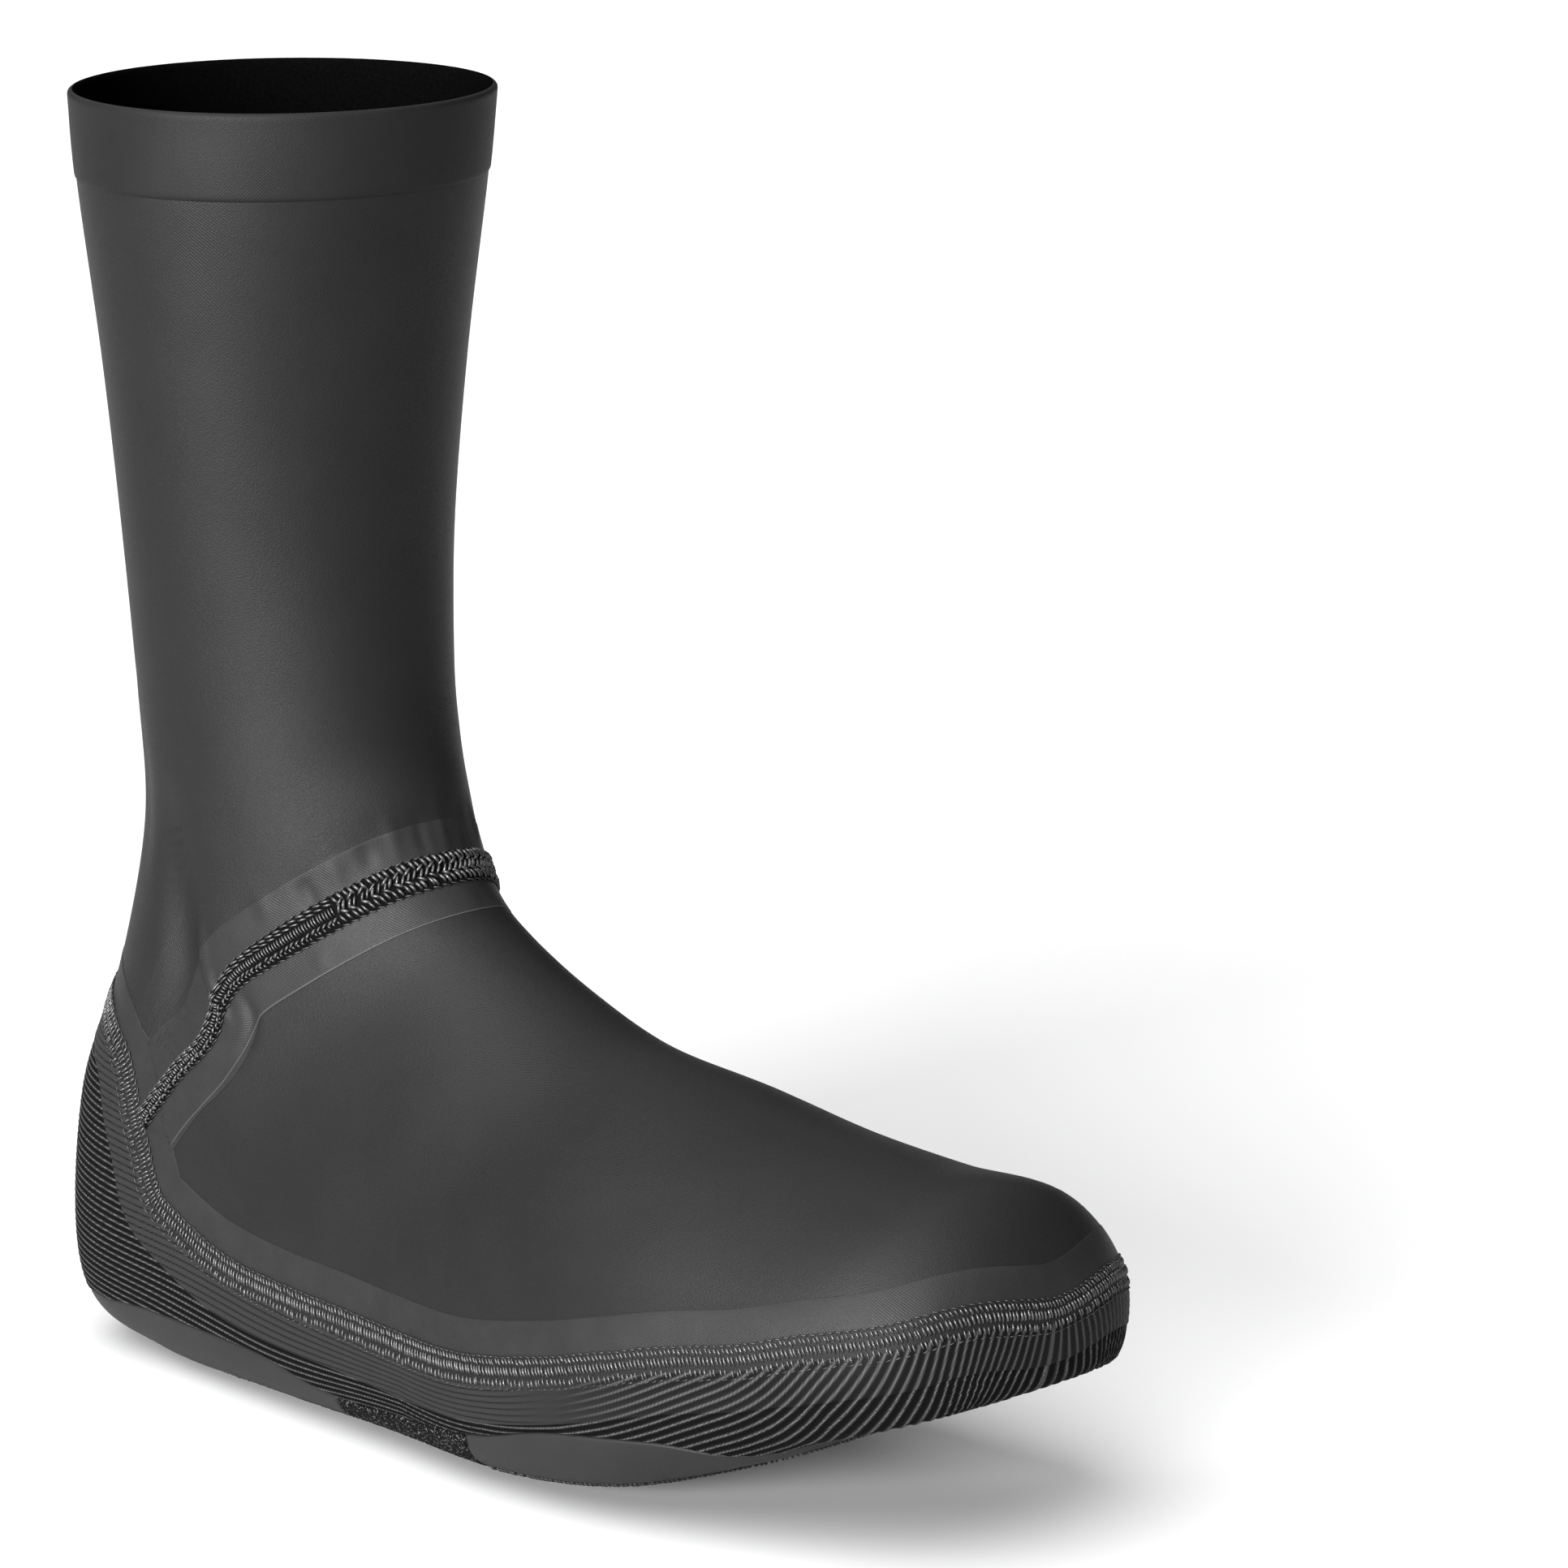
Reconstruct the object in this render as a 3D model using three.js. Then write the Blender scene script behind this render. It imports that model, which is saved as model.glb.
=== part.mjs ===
// A calf-high cycling overshoe for the right foot, in the shape it has when it is pulled over a shoe.
// Coated stretch-fabric leg and foot panels meet a ribbed band, the rand, which runs round the foot.
// The seams are coverstitched and taped. Under the foot, two fabric strips edge the heel opening and
// the cleat opening, a rough strap crosses the arch between them, and the rand edges a toe opening.
// Millimetres. +X points to the toe, +Y to the wearer's left (the inner side), +Z up. The origin is on
// the ground, half way along the foot, in the flat underside of the arch strap.

import * as THREE from "three";

// Overall sizes
const FOOT_LENGTH = 294;
const FOOT_WIDTH = 110;
const HEEL_WIDTH = 80;
const ANKLE_HEIGHT = 156;
const ANKLE_WIDTH = 68;
const CUFF_HEIGHT = 312;
const CUFF_WIDTH = 105;

// Thicknesses of the fabrics
const PANEL_FABRIC = 1.6;
const CUFF_FABRIC = 2.4;
const RAND_FABRIC = 2;
const SOLE_FABRIC = 1.6;
const STRAP_FABRIC = 2;

// Cuff, seams and tape
const CUFF_DEPTH = 21;
const CUFF_STEP = 0.4;
const PIECE_GAP = 0.3;
const SEAM_INSET = 0.3;
const STITCHING_WIDTH = 9;
const STITCHING_THICKNESS = 0.9;
const TAPE_WIDTH = 24;
const TAPE_THICKNESS = 0.6;
const TAPE_CLEARANCE = 0.8;
const TOE_OPENING_WIDTH = 62;

// Cross-sections from the cuff rim down the leg and along the foot to the toe opening. Each is a
// closed ring in a plane through a front (or top) point and a back (or bottom) point.
// frontX, backX: distances from the heel, in shares of the foot's length. frontZ, backZ: heights, up
// to 1 in shares of the ankle's height, and from 1 to 2 in shares of the leg above it. outer, inner:
// half widths, in shares of the width named beside them. widest: where the ring is widest, as a share
// of the way from the front point to the back point. front, back: how square each end of the ring is,
// 2 being an ellipse. frontY, backY: how far the end points lie towards the inner side, in shares of
// the foot's width.
const SECTIONS = [
  { at: "rim", frontX: 0.367, frontZ: 2, backX: 0.032, backZ: 2, width: CUFF_WIDTH,
    outer: 0.49, inner: 0.495, widest: 0.49, front: 2, back: 2, frontY: 0, backY: 0 },
  { at: "cuff", frontX: 0.358, frontZ: 1.86, backX: 0.04, backZ: 1.86, width: CUFF_WIDTH,
    outer: 0.48, inner: 0.48, widest: 0.49, front: 2, back: 2, frontY: 0, backY: 0 },
  { at: "calf", frontX: 0.341, frontZ: 1.6, backX: 0.057, backZ: 1.58, width: CUFF_WIDTH,
    outer: 0.43, inner: 0.43, widest: 0.49, front: 2, back: 2, frontY: 0, backY: 0 },
  { at: "shin", frontX: 0.333, frontZ: 1.34, backX: 0.066, backZ: 1.28, width: CUFF_WIDTH,
    outer: 0.38, inner: 0.385, widest: 0.49, front: 2, back: 2, frontY: 0, backY: 0 },
  { at: "ankle top", frontX: 0.34, frontZ: 1.13, backX: 0.071, backZ: 1.03, width: ANKLE_WIDTH,
    outer: 0.525, inner: 0.525, widest: 0.49, front: 2.1, back: 2.1, frontY: 0, backY: 0 },
  { at: "ankle", frontX: 0.35, frontZ: 1.03, backX: 0.074, backZ: 0.82, width: ANKLE_WIDTH,
    outer: 0.515, inner: 0.515, widest: 0.51, front: 2.1, back: 2.1, frontY: 0, backY: 0 },
  { at: "ankle bend", frontX: 0.366, frontZ: 0.955, backX: 0.042, backZ: 0.57, width: HEEL_WIDTH,
    outer: 0.445, inner: 0.45, widest: 0.54, front: 2.1, back: 2.2, frontY: 0, backY: 0 },
  { at: "heel back", frontX: 0.38, frontZ: 0.88, backX: 0, backZ: 0.335, width: HEEL_WIDTH,
    outer: 0.48, inner: 0.48, widest: 0.6, front: 2.1, back: 2.3, frontY: 0.01, backY: 0 },
  { at: "heel corner", frontX: 0.403, frontZ: 0.81, backX: 0.018, backZ: 0.05, width: HEEL_WIDTH,
    outer: 0.505, inner: 0.5, widest: 0.64, front: 2.1, back: 2.8, frontY: 0.01, backY: 0 },
  { at: "heel sole", frontX: 0.434, frontZ: 0.755, backX: 0.126, backZ: -0.01, width: HEEL_WIDTH,
    outer: 0.505, inner: 0.5, widest: 0.67, front: 2.1, back: 3.4, frontY: 0.02, backY: 0 },
  { at: "arch", frontX: 0.493, frontZ: 0.685, backX: 0.285, backZ: -0.01, width: FOOT_WIDTH,
    outer: 0.4, inner: 0.38, widest: 0.67, front: 2.1, back: 3.6, frontY: 0.03, backY: 0 },
  { at: "waist", frontX: 0.568, frontZ: 0.62, backX: 0.425, backZ: -0.008, width: FOOT_WIDTH,
    outer: 0.435, inner: 0.42, widest: 0.65, front: 2.1, back: 3.6, frontY: 0.04, backY: 0.01 },
  { at: "ball", frontX: 0.656, frontZ: 0.582, backX: 0.572, backZ: -0.008, width: FOOT_WIDTH,
    outer: 0.488, inner: 0.48, widest: 0.62, front: 2.2, back: 3.6, frontY: 0.05, backY: 0.02 },
  { at: "toe joint", frontX: 0.75, frontZ: 0.542, backX: 0.687, backZ: 0.02, width: FOOT_WIDTH,
    outer: 0.49, inner: 0.489, widest: 0.6, front: 2.3, back: 3.6, frontY: 0.06, backY: 0.03 },
  { at: "toe box", frontX: 0.85, frontZ: 0.52, backX: 0.785, backZ: 0.08, width: FOOT_WIDTH,
    outer: 0.461, inner: 0.46, widest: 0.62, front: 2.3, back: 3.8, frontY: 0.09, backY: 0.07 },
  { at: "toe top", frontX: 0.945, frontZ: 0.51, backX: 0.836, backZ: 0.12, width: FOOT_WIDTH,
    outer: 0.43, inner: 0.433, widest: 0.67, front: 2.3, back: 4, frontY: 0.12, backY: 0.1 },
  { at: "toe tip", frontX: 1, frontZ: 0.41, backX: 0.858, backZ: 0.145, width: FOOT_WIDTH,
    outer: 0.41, inner: 0.413, widest: 0.73, front: 2.3, back: 4, frontY: 0.13, backY: 0.12 },
  { at: "toe edge", frontX: 0.997, frontZ: 0.26, backX: 0.87, backZ: 0.16, width: FOOT_WIDTH,
    outer: 0.365, inner: 0.37, widest: 0.7, front: 2.3, back: 4, frontY: 0.14, backY: 0.13 },
  { at: "toe opening", frontX: 0.96, frontZ: 0.22, backX: 0.878, backZ: 0.168, width: TOE_OPENING_WIDTH,
    outer: 0.5, inner: 0.5, widest: 0.6, front: 2.4, back: 3.6, frontY: 0.15, backY: 0.14 },
];
const OPENING_ROW = SECTIONS.length - 1;

// The rear corners of the toe opening, as a girth
const OPENING_CORNER = 0.36;

// Places on the wall are given by row, a place in the table above, and girth, the share of the way
// round the ring: 0 along the front and top, 0.25 on the outer side, 0.5 along the back and the sole,
// and negative on the inner side.

// The rand from the heel back round the outer side to the toe tip; the inner side mirrors it.
const RAND = [
  { at: "heel back", topRow: 5.85, topGirth: 0.5, bottomRow: 7.85, bottomGirth: 0.5 },
  { at: "heel curve", topRow: 6.25, topGirth: 0.37, bottomRow: 8.12, bottomGirth: 0.385 },
  { at: "heel side", topRow: 6.95, topGirth: 0.285, bottomRow: 8.5, bottomGirth: 0.354 },
  { at: "junction", topRow: 7.7, topGirth: 0.249, bottomRow: 8.9, bottomGirth: 0.34 },
  { at: "heel front", topRow: 8.5, topGirth: 0.252, bottomRow: 9.35, bottomGirth: 0.333 },
  { at: "heel end", topRow: 9.6, topGirth: 0.267, bottomRow: 9.95, bottomGirth: 0.335 },
  { at: "arch", topRow: 10.5, topGirth: 0.268, bottomRow: 10.7, bottomGirth: 0.352 },
  { at: "waist", topRow: 11.6, topGirth: 0.27, bottomRow: 11.9, bottomGirth: 0.336 },
  { at: "ball", topRow: 12.6, topGirth: 0.25, bottomRow: 12.7, bottomGirth: 0.316 },
  { at: "toe joint", topRow: 13.5, topGirth: 0.233, bottomRow: 13.6, bottomGirth: 0.326 },
  { at: "toe side", topRow: 14.5, topGirth: 0.22, bottomRow: 14.9, bottomGirth: 0.375 },
  { at: "toe corner", topRow: 15.3, topGirth: 0.192, bottomRow: 17, bottomGirth: 0.375 },
  { at: "toe bend", topRow: 15.85, topGirth: 0.147, bottomRow: OPENING_ROW, bottomGirth: 0.3 },
  { at: "toe front", topRow: 16.15, topGirth: 0.08, bottomRow: OPENING_ROW, bottomGirth: 0.16 },
  { at: "toe tip", topRow: 16.35, topGirth: 0, bottomRow: OPENING_ROW, bottomGirth: 0 },
];
const JUNCTION = RAND.findIndex((row) => row.at === "junction");
const STRAP_BACK = RAND.findIndex((row) => row.at === "arch");
const STRAP_FRONT = RAND.findIndex((row) => row.at === "waist");
const TOE_CORNER = RAND.findIndex((row) => row.at === "toe corner");

// The ankle seam from the rand's outer side over the instep to its inner side. On the outer side it
// drops in a step behind the ankle bone.
const ANKLE_SEAM = [
  { at: "outer junction", row: 7.7, girth: 0.249 },
  { at: "outer rise", row: 7.6, girth: 0.219 },
  { at: "step bottom", row: 7.56, girth: 0.194 },
  { at: "step top", row: 7.26, girth: 0.178 },
  { at: "outer instep", row: 7.27, girth: 0.142 },
  { at: "outer front", row: 7.38, girth: 0.08 },
  { at: "front", row: 7.56, girth: 0 },
  { at: "inner front", row: 7.5, girth: -0.08 },
  { at: "inner instep", row: 7.43, girth: -0.15 },
  { at: "inner rise", row: 7.55, girth: -0.21 },
  { at: "inner junction", row: 7.7, girth: -0.249 },
];

// The free edges of the two sole strips on the outer side, from the heel or toe middle to the strap.
const HEEL_OPENING = [
  { at: "back", row: 8.72, girth: 0.5 },
  { at: "back corner", row: 8.82, girth: 0.45 },
  { at: "side", row: 9.2, girth: 0.414 },
  { at: "side front", row: 9.9, girth: 0.404 },
  { at: "strap", row: 10.7, girth: 0.398 },
];
const CLEAT_OPENING = [
  { at: "strap", row: 11.9, girth: 0.39 },
  { at: "side", row: 12.7, girth: 0.402 },
  { at: "side front", row: 13.6, girth: 0.416 },
  { at: "front corner", row: 14.3, girth: 0.445 },
  { at: "front", row: 14.5, girth: 0.5 },
];

// How finely the curved shapes are faceted
const LEG_COLUMNS = { ankle: 13, heel: 10 };
const LEG_ROWS = 15;
const LEG_CROWDING = 0.7;
const FOOT_COLUMNS = 44;
const FOOT_ROWS = 10;
const RAND_COLUMNS = 76;
const RAND_ROWS = 5;
const RAND_CROWDING = -0.6;
const CUFF_ROWS = 2;
const ANKLE_BAND_COLUMNS = 34;
const SOLE_COLUMNS = 32;
const SOLE_ROWS = 3;
const TOE_OPENING_COLUMNS = 3;
const STRAP_COLUMNS = 6;
const STRAP_ROWS = 12;
const CURVE_STEPS = 16;
const SLIDE_STEP = 1;

const COATED = { color: 0x3a3a3b, roughness: 0.62, metalness: 0 };
const CUFF = { color: 0x343435, roughness: 0.7, metalness: 0 };
const TAPED = { color: 0x414142, roughness: 0.5, metalness: 0 };
const STITCHED = { color: 0x2c2c2d, roughness: 0.4, metalness: 0 };
const RIBBED = { color: 0x1b1b1c, roughness: 0.6, metalness: 0 };
const EDGED = { color: 0x4a4a4b, roughness: 0.45, metalness: 0 };
const ROUGH = { color: 0x0c0c0d, roughness: 0.9, metalness: 0 };

// Lengths in millimetres for one row of SECTIONS
function sectionLengths(section) {
  const height = (share) =>
    share <= 1 ? share * ANKLE_HEIGHT : ANKLE_HEIGHT + (share - 1) * (CUFF_HEIGHT - ANKLE_HEIGHT);
  return {
    frontX: section.frontX * FOOT_LENGTH,
    frontY: section.frontY * FOOT_WIDTH,
    frontZ: height(section.frontZ),
    backX: section.backX * FOOT_LENGTH,
    backY: section.backY * FOOT_WIDTH,
    backZ: height(section.backZ),
    outer: section.outer * section.width,
    inner: section.inner * section.width,
    widest: section.widest,
    front: section.front,
    back: section.back,
  };
}

const LENGTHS = SECTIONS.map(sectionLengths);

// A Catmull-Rom curve through numbers
function smooth(before, from, to, after, t) {
  const slope = to - before;
  const bend = 2 * before - 5 * from + 4 * to - after;
  const twist = 3 * (from - to) + after - before;
  return 0.5 * (2 * from + slope * t + bend * t * t + twist * t * t * t);
}

// The values of a table between its rows, by name. Past its ends the table goes on straight.
function between(table, place, names) {
  const last = table.length - 1;
  const index = Math.min(Math.floor(place), last - 1);
  const t = place - index;
  const values = {};
  for (const name of names) {
    const from = table[index][name];
    const to = table[index + 1][name];
    const before = index > 0 ? table[index - 1][name] : 2 * from - to;
    const after = index + 2 <= last ? table[index + 2][name] : 2 * to - from;
    values[name] = smooth(before, from, to, after, t);
  }
  return values;
}

const LENGTH_NAMES = Object.keys(LENGTHS[0]);

// A point on the outside of the wall. The sole is flat where it would reach below the ground.
function wallPoint({ row, girth }) {
  const ring = between(LENGTHS, THREE.MathUtils.clamp(row, 0, OPENING_ROW), LENGTH_NAMES);
  const up = Math.cos(2 * Math.PI * girth);
  const side = Math.sin(2 * Math.PI * girth);
  const squareness = up >= 0 ? ring.front : ring.back;
  const reach = (Math.abs(up) ** squareness + Math.abs(side) ** squareness) ** (-1 / squareness);
  const span = up >= 0 ? ring.widest : 1 - ring.widest;
  const down = ring.widest - span * reach * up;
  const half = side >= 0 ? -ring.outer : ring.inner;
  return new THREE.Vector3(
    THREE.MathUtils.lerp(ring.frontX, ring.backX, down),
    THREE.MathUtils.lerp(ring.frontY, ring.backY, down) + half * reach * Math.abs(side),
    Math.max(0, THREE.MathUtils.lerp(ring.frontZ, ring.backZ, down)),
  );
}

// The wall's directions at a place: along the rows, round the girth, and straight out
function wallFrame({ row, girth }) {
  const rowStep = 0.02;
  const girthStep = 0.002;
  const nextRow = Math.min(row + rowStep, OPENING_ROW);
  const lastRow = Math.max(Math.min(row, OPENING_ROW) - rowStep, 0);
  const alongRow = wallPoint({ row: nextRow, girth }).sub(wallPoint({ row: lastRow, girth }));
  alongRow.divideScalar(nextRow - lastRow);
  const alongGirth = wallPoint({ row, girth: girth + girthStep });
  alongGirth.sub(wallPoint({ row, girth: girth - girthStep })).divideScalar(2 * girthStep);
  const out = new THREE.Vector3().crossVectors(alongGirth, alongRow).normalize();
  return { alongRow, alongGirth, out };
}

// The place a distance away over the wall, in short steps that follow its bends
function slide(place, direction, distance) {
  const steps = Math.max(1, Math.ceil(Math.abs(distance) / SLIDE_STEP));
  let { row, girth } = place;
  for (let step = 0; step < steps; step += 1) {
    const { alongRow, alongGirth, out } = wallFrame({ row, girth });
    const move = direction.clone().projectOnPlane(out).setLength(Math.abs(distance) / steps);
    move.multiplyScalar(Math.sign(distance));
    const rowRow = alongRow.dot(alongRow);
    const rowGirth = alongRow.dot(alongGirth);
    const girthGirth = alongGirth.dot(alongGirth);
    const moveRow = alongRow.dot(move);
    const moveGirth = alongGirth.dot(move);
    const scale = rowRow * girthGirth - rowGirth * rowGirth;
    row += (moveRow * girthGirth - moveGirth * rowGirth) / scale;
    girth += (moveGirth * rowRow - moveRow * rowGirth) / scale;
  }
  return { row, girth };
}

// A smooth line on the wall through places, with its length measured along the wall. A closed line
// ends where it starts.
class WallLine {
  constructor(places, closed) {
    this.places = places;
    this.closed = closed;
    this.knots = [0];
    this.lengths = [0];
    let previous = wallPoint(this.place(0));
    for (let step = 1; step <= (places.length - 1) * CURVE_STEPS; step += 1) {
      const point = wallPoint(this.place(step / CURVE_STEPS));
      this.knots.push(step / CURVE_STEPS);
      this.lengths.push(this.lengths[step - 1] + point.distanceTo(previous));
      previous = point;
    }
    this.length = this.lengths.at(-1);
  }

  // The place at a knot, where knot 2.5 lies half way from the third of the places to the fourth
  place(knot) {
    return between(this.places, THREE.MathUtils.clamp(knot, 0, this.places.length - 1), ["row", "girth"]);
  }

  // The knot at a distance along the line
  knotAt(distance) {
    const next = this.lengths.findIndex((length) => length >= distance);
    const index = next < 0 ? this.lengths.length - 1 : Math.max(next, 1);
    const share = (distance - this.lengths[index - 1]) / (this.lengths[index] - this.lengths[index - 1]);
    return THREE.MathUtils.lerp(this.knots[index - 1], this.knots[index], THREE.MathUtils.clamp(share, 0, 1));
  }

  // The distance along the line to a knot
  distanceAt(knot) {
    const index = Math.min(Math.floor(knot * CURVE_STEPS), this.lengths.length - 2);
    const share = knot * CURVE_STEPS - index;
    return THREE.MathUtils.lerp(this.lengths[index], this.lengths[index + 1], share);
  }

  // The place at a knot moved sideways over the wall, to the left of the line seen from outside
  beside(knot, distance) {
    const place = this.place(knot);
    const reach = 0.05;
    const last = this.places.length - 1;
    const wrap = (far) => (this.closed ? THREE.MathUtils.euclideanModulo(far, last) : far);
    const ahead = wallPoint(this.place(wrap(knot + reach)));
    const behind = wallPoint(this.place(wrap(knot - reach)));
    const left = new THREE.Vector3().crossVectors(wallFrame(place).out, ahead.sub(behind));
    return slide(place, left, distance);
  }
}

// Even steps from one number to another, both included
function steps(from, to, count) {
  return Array.from({ length: count + 1 }, (_, index) => THREE.MathUtils.lerp(from, to, index / count));
}

// The mirror image of a list of places on the other side, in the opposite order
function mirrored(places) {
  return places.toReversed().map(({ row, girth }) => ({ row, girth: 1 - girth }));
}

// Places between two places, along rows and girth, closer together at the end where crowding says so
function across(from, to, count, crowding = 0) {
  return steps(0, 1, count).map((step) => {
    const share = step * (1 + crowding * (1 - step));
    return {
      row: THREE.MathUtils.lerp(from.row, to.row, share),
      girth: THREE.MathUtils.lerp(from.girth, to.girth, share),
    };
  });
}

// A solid sheet on the wall, from columns of places. It reaches from one height over the outside of
// the wall to another; a closed sheet joins its last column to its first.
function sheet(name, finish, columns, low, high, closed) {
  const rows = columns[0].length;
  const positions = [];
  const layer = rows * columns.length;
  for (const height of [low, high]) {
    for (const column of columns) {
      for (const place of column) {
        const point = wallPoint(place).addScaledVector(wallFrame(place).out, height);
        positions.push(point.x, point.y, point.z);
      }
    }
  }
  const index = [];
  const quad = (a, b, c, d) => index.push(a, b, c, a, c, d);
  const corner = (column, row) => (column % columns.length) * rows + row;
  const spans = closed ? columns.length : columns.length - 1;
  for (let column = 0; column < spans; column += 1) {
    for (let row = 0; row < rows - 1; row += 1) {
      const near = [corner(column, row), corner(column + 1, row)];
      const far = [corner(column, row + 1), corner(column + 1, row + 1)];
      quad(near[0], near[1], far[1], far[0]);
      quad(layer + near[0], layer + far[0], layer + far[1], layer + near[1]);
    }
    const [start, end] = [0, rows - 1];
    quad(corner(column, start), layer + corner(column, start),
      layer + corner(column + 1, start), corner(column + 1, start));
    quad(corner(column, end), corner(column + 1, end),
      layer + corner(column + 1, end), layer + corner(column, end));
  }
  if (!closed) {
    const end = columns.length - 1;
    for (let row = 0; row < rows - 1; row += 1) {
      quad(corner(0, row), corner(0, row + 1), layer + corner(0, row + 1), layer + corner(0, row));
      quad(corner(end, row), layer + corner(end, row),
        layer + corner(end, row + 1), corner(end, row + 1));
    }
  }
  return facingOut(name, finish, positions, index);
}

// A mesh of the triangles, turned over if they enclose a negative volume
function facingOut(name, finish, positions, index) {
  const point = (corner) => new THREE.Vector3().fromArray(positions, 3 * corner);
  let volume = 0;
  for (let start = 0; start < index.length; start += 3) {
    const [a, b, c] = index.slice(start, start + 3).map(point);
    volume += a.dot(b.cross(c)) / 6;
  }
  const geometry = new THREE.BufferGeometry();
  geometry.setAttribute("position", new THREE.Float32BufferAttribute(positions, 3));
  geometry.setIndex(volume < 0 ? index.toReversed() : index);
  geometry.computeVertexNormals();
  const mesh = new THREE.Mesh(geometry, new THREE.MeshStandardMaterial(finish));
  mesh.name = name;
  return mesh;
}

const randTopHalf = RAND.map((row) => ({ row: row.topRow, girth: row.topGirth }));
const randBottomHalf = RAND.map((row) => ({ row: row.bottomRow, girth: row.bottomGirth }));
// The inner half's girths go on below 0, so that the line crosses the toe tip without a jump
const innerHalf = (half) => half.toReversed().slice(1).map(({ row, girth }) => ({ row, girth: -girth }));
const randTop = new WallLine([...randTopHalf, ...innerHalf(randTopHalf)], true);
const randBottom = new WallLine([...randBottomHalf, ...innerHalf(randBottomHalf)], true);
const ankleSeam = new WallLine(ANKLE_SEAM, false);
const INNER_JUNCTION = 2 * (RAND.length - 1) - JUNCTION;
const RAND_KNOTS = 2 * (RAND.length - 1);

// Knots at even distances between two distances along a line
function evenKnots(line, from, to, count) {
  return steps(from, to, count).map((distance) => line.knotAt(distance));
}

function cuffBand() {
  const down = new THREE.Vector3(0, 0, -1);
  const count = 2 * (LEG_COLUMNS.ankle + LEG_COLUMNS.heel);
  const columns = steps(0, 1, count).slice(0, -1).map((girth) => {
    const rim = { row: 0, girth };
    return across(rim, slide(rim, down, CUFF_DEPTH), CUFF_ROWS);
  });
  return sheet("cuff_band", CUFF, columns, CUFF_STEP - CUFF_FABRIC, CUFF_STEP, true);
}

// The leg ends on the ankle seam in front and on the rand behind. Its columns start evenly spaced
// below the cuff and pass either side of each junction of the two seams.
function leg() {
  const clear = STITCHING_WIDTH;
  const half = evenKnots(ankleSeam, clear, ankleSeam.length - clear, 2 * LEG_COLUMNS.ankle);
  const over = half.map((knot) => ankleSeam.beside(knot, SEAM_INSET));
  const junction = randTop.distanceAt(JUNCTION);
  const behind = evenKnots(randTop, 0, junction - clear, LEG_COLUMNS.heel)
    .map((knot) => randTop.beside(knot, SEAM_INSET));
  const round = [...behind.slice(1), ...over, ...mirrored(behind)];
  const down = new THREE.Vector3(0, 0, -1);
  const columns = round.map((bottom, index) => {
    const girth = 0.5 - (index + 1) / round.length;
    const foot = { row: bottom.row, girth: nearest(bottom.girth, girth) };
    const top = slide({ row: 0, girth }, down, CUFF_DEPTH + PIECE_GAP);
    return across(top, foot, LEG_ROWS, LEG_CROWDING);
  });
  return sheet("leg", COATED, columns, -PANEL_FABRIC, 0, true);
}

// The same girth, whole turns away if need be, that lies nearest to another
function nearest(girth, target) {
  return girth + Math.round(target - girth);
}

function footUpper() {
  const clear = STITCHING_WIDTH;
  const seam = evenKnots(ankleSeam, clear, ankleSeam.length - clear, FOOT_COLUMNS);
  const from = randTop.distanceAt(JUNCTION) + clear;
  const to = randTop.distanceAt(INNER_JUNCTION) - clear;
  const edge = evenKnots(randTop, from, to, FOOT_COLUMNS);
  const columns = seam.map((knot, index) =>
    across(ankleSeam.beside(knot, -SEAM_INSET), randTop.beside(edge[index], SEAM_INSET), FOOT_ROWS));
  return sheet("foot_upper", COATED, columns, -PANEL_FABRIC, 0, false);
}

function rand() {
  const knots = evenKnots(randTop, 0, randTop.length, RAND_COLUMNS).slice(0, -1);
  const columns = knots.map((knot) =>
    across(randTop.beside(knot, -SEAM_INSET), randBottom.beside(knot, SEAM_INSET), RAND_ROWS,
      RAND_CROWDING));
  return sheet("rand", RIBBED, columns, -RAND_FABRIC, 0, true);
}

// A flat band that follows a line, over the wall, between two distances from the line
function band(name, finish, line, knots, from, to, cells, low, high, closed) {
  const columns = knots.map((knot) =>
    steps(from, to, cells).map((distance) => line.beside(knot, distance)));
  return sheet(name, finish, columns, low, high, closed);
}

// The stitching down the middle of a seam and the tape either side of it
const STITCHING = { from: -STITCHING_WIDTH / 2, to: STITCHING_WIDTH / 2, cells: 2 };
const TAPE_EDGE = STITCHING.to + PIECE_GAP;
const LOWER_TAPE = { from: -TAPE_WIDTH / 2, to: -TAPE_EDGE, cells: 1 };
const UPPER_TAPE = { from: TAPE_EDGE, to: TAPE_WIDTH / 2, cells: 1 };

function randSeam(name, finish, strip, thickness) {
  const knots = evenKnots(randTop, 0, randTop.length, RAND_COLUMNS).slice(0, -1);
  const top = TAPE_CLEARANCE + thickness;
  return band(name, finish, randTop, knots, strip.from, strip.to, strip.cells, TAPE_CLEARANCE, top, true);
}

// How far along the ankle seam, from one end, a place beside it first clears the rand's tape
function clearOfRand(distance, fromEnd) {
  const randPoints = steps(0, RAND_KNOTS, RAND_KNOTS * CURVE_STEPS / 2)
    .map((knot) => wallPoint(randTop.place(knot)));
  let along = 0;
  let room = 0;
  while (room < TAPE_WIDTH / 2 + 2 * PIECE_GAP && along < ankleSeam.length / 2) {
    along += PIECE_GAP;
    const knot = ankleSeam.knotAt(fromEnd ? ankleSeam.length - along : along);
    const point = wallPoint(ankleSeam.beside(knot, distance));
    room = Math.min(...randPoints.map((randPoint) => randPoint.distanceTo(point)));
  }
  return along;
}

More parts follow.
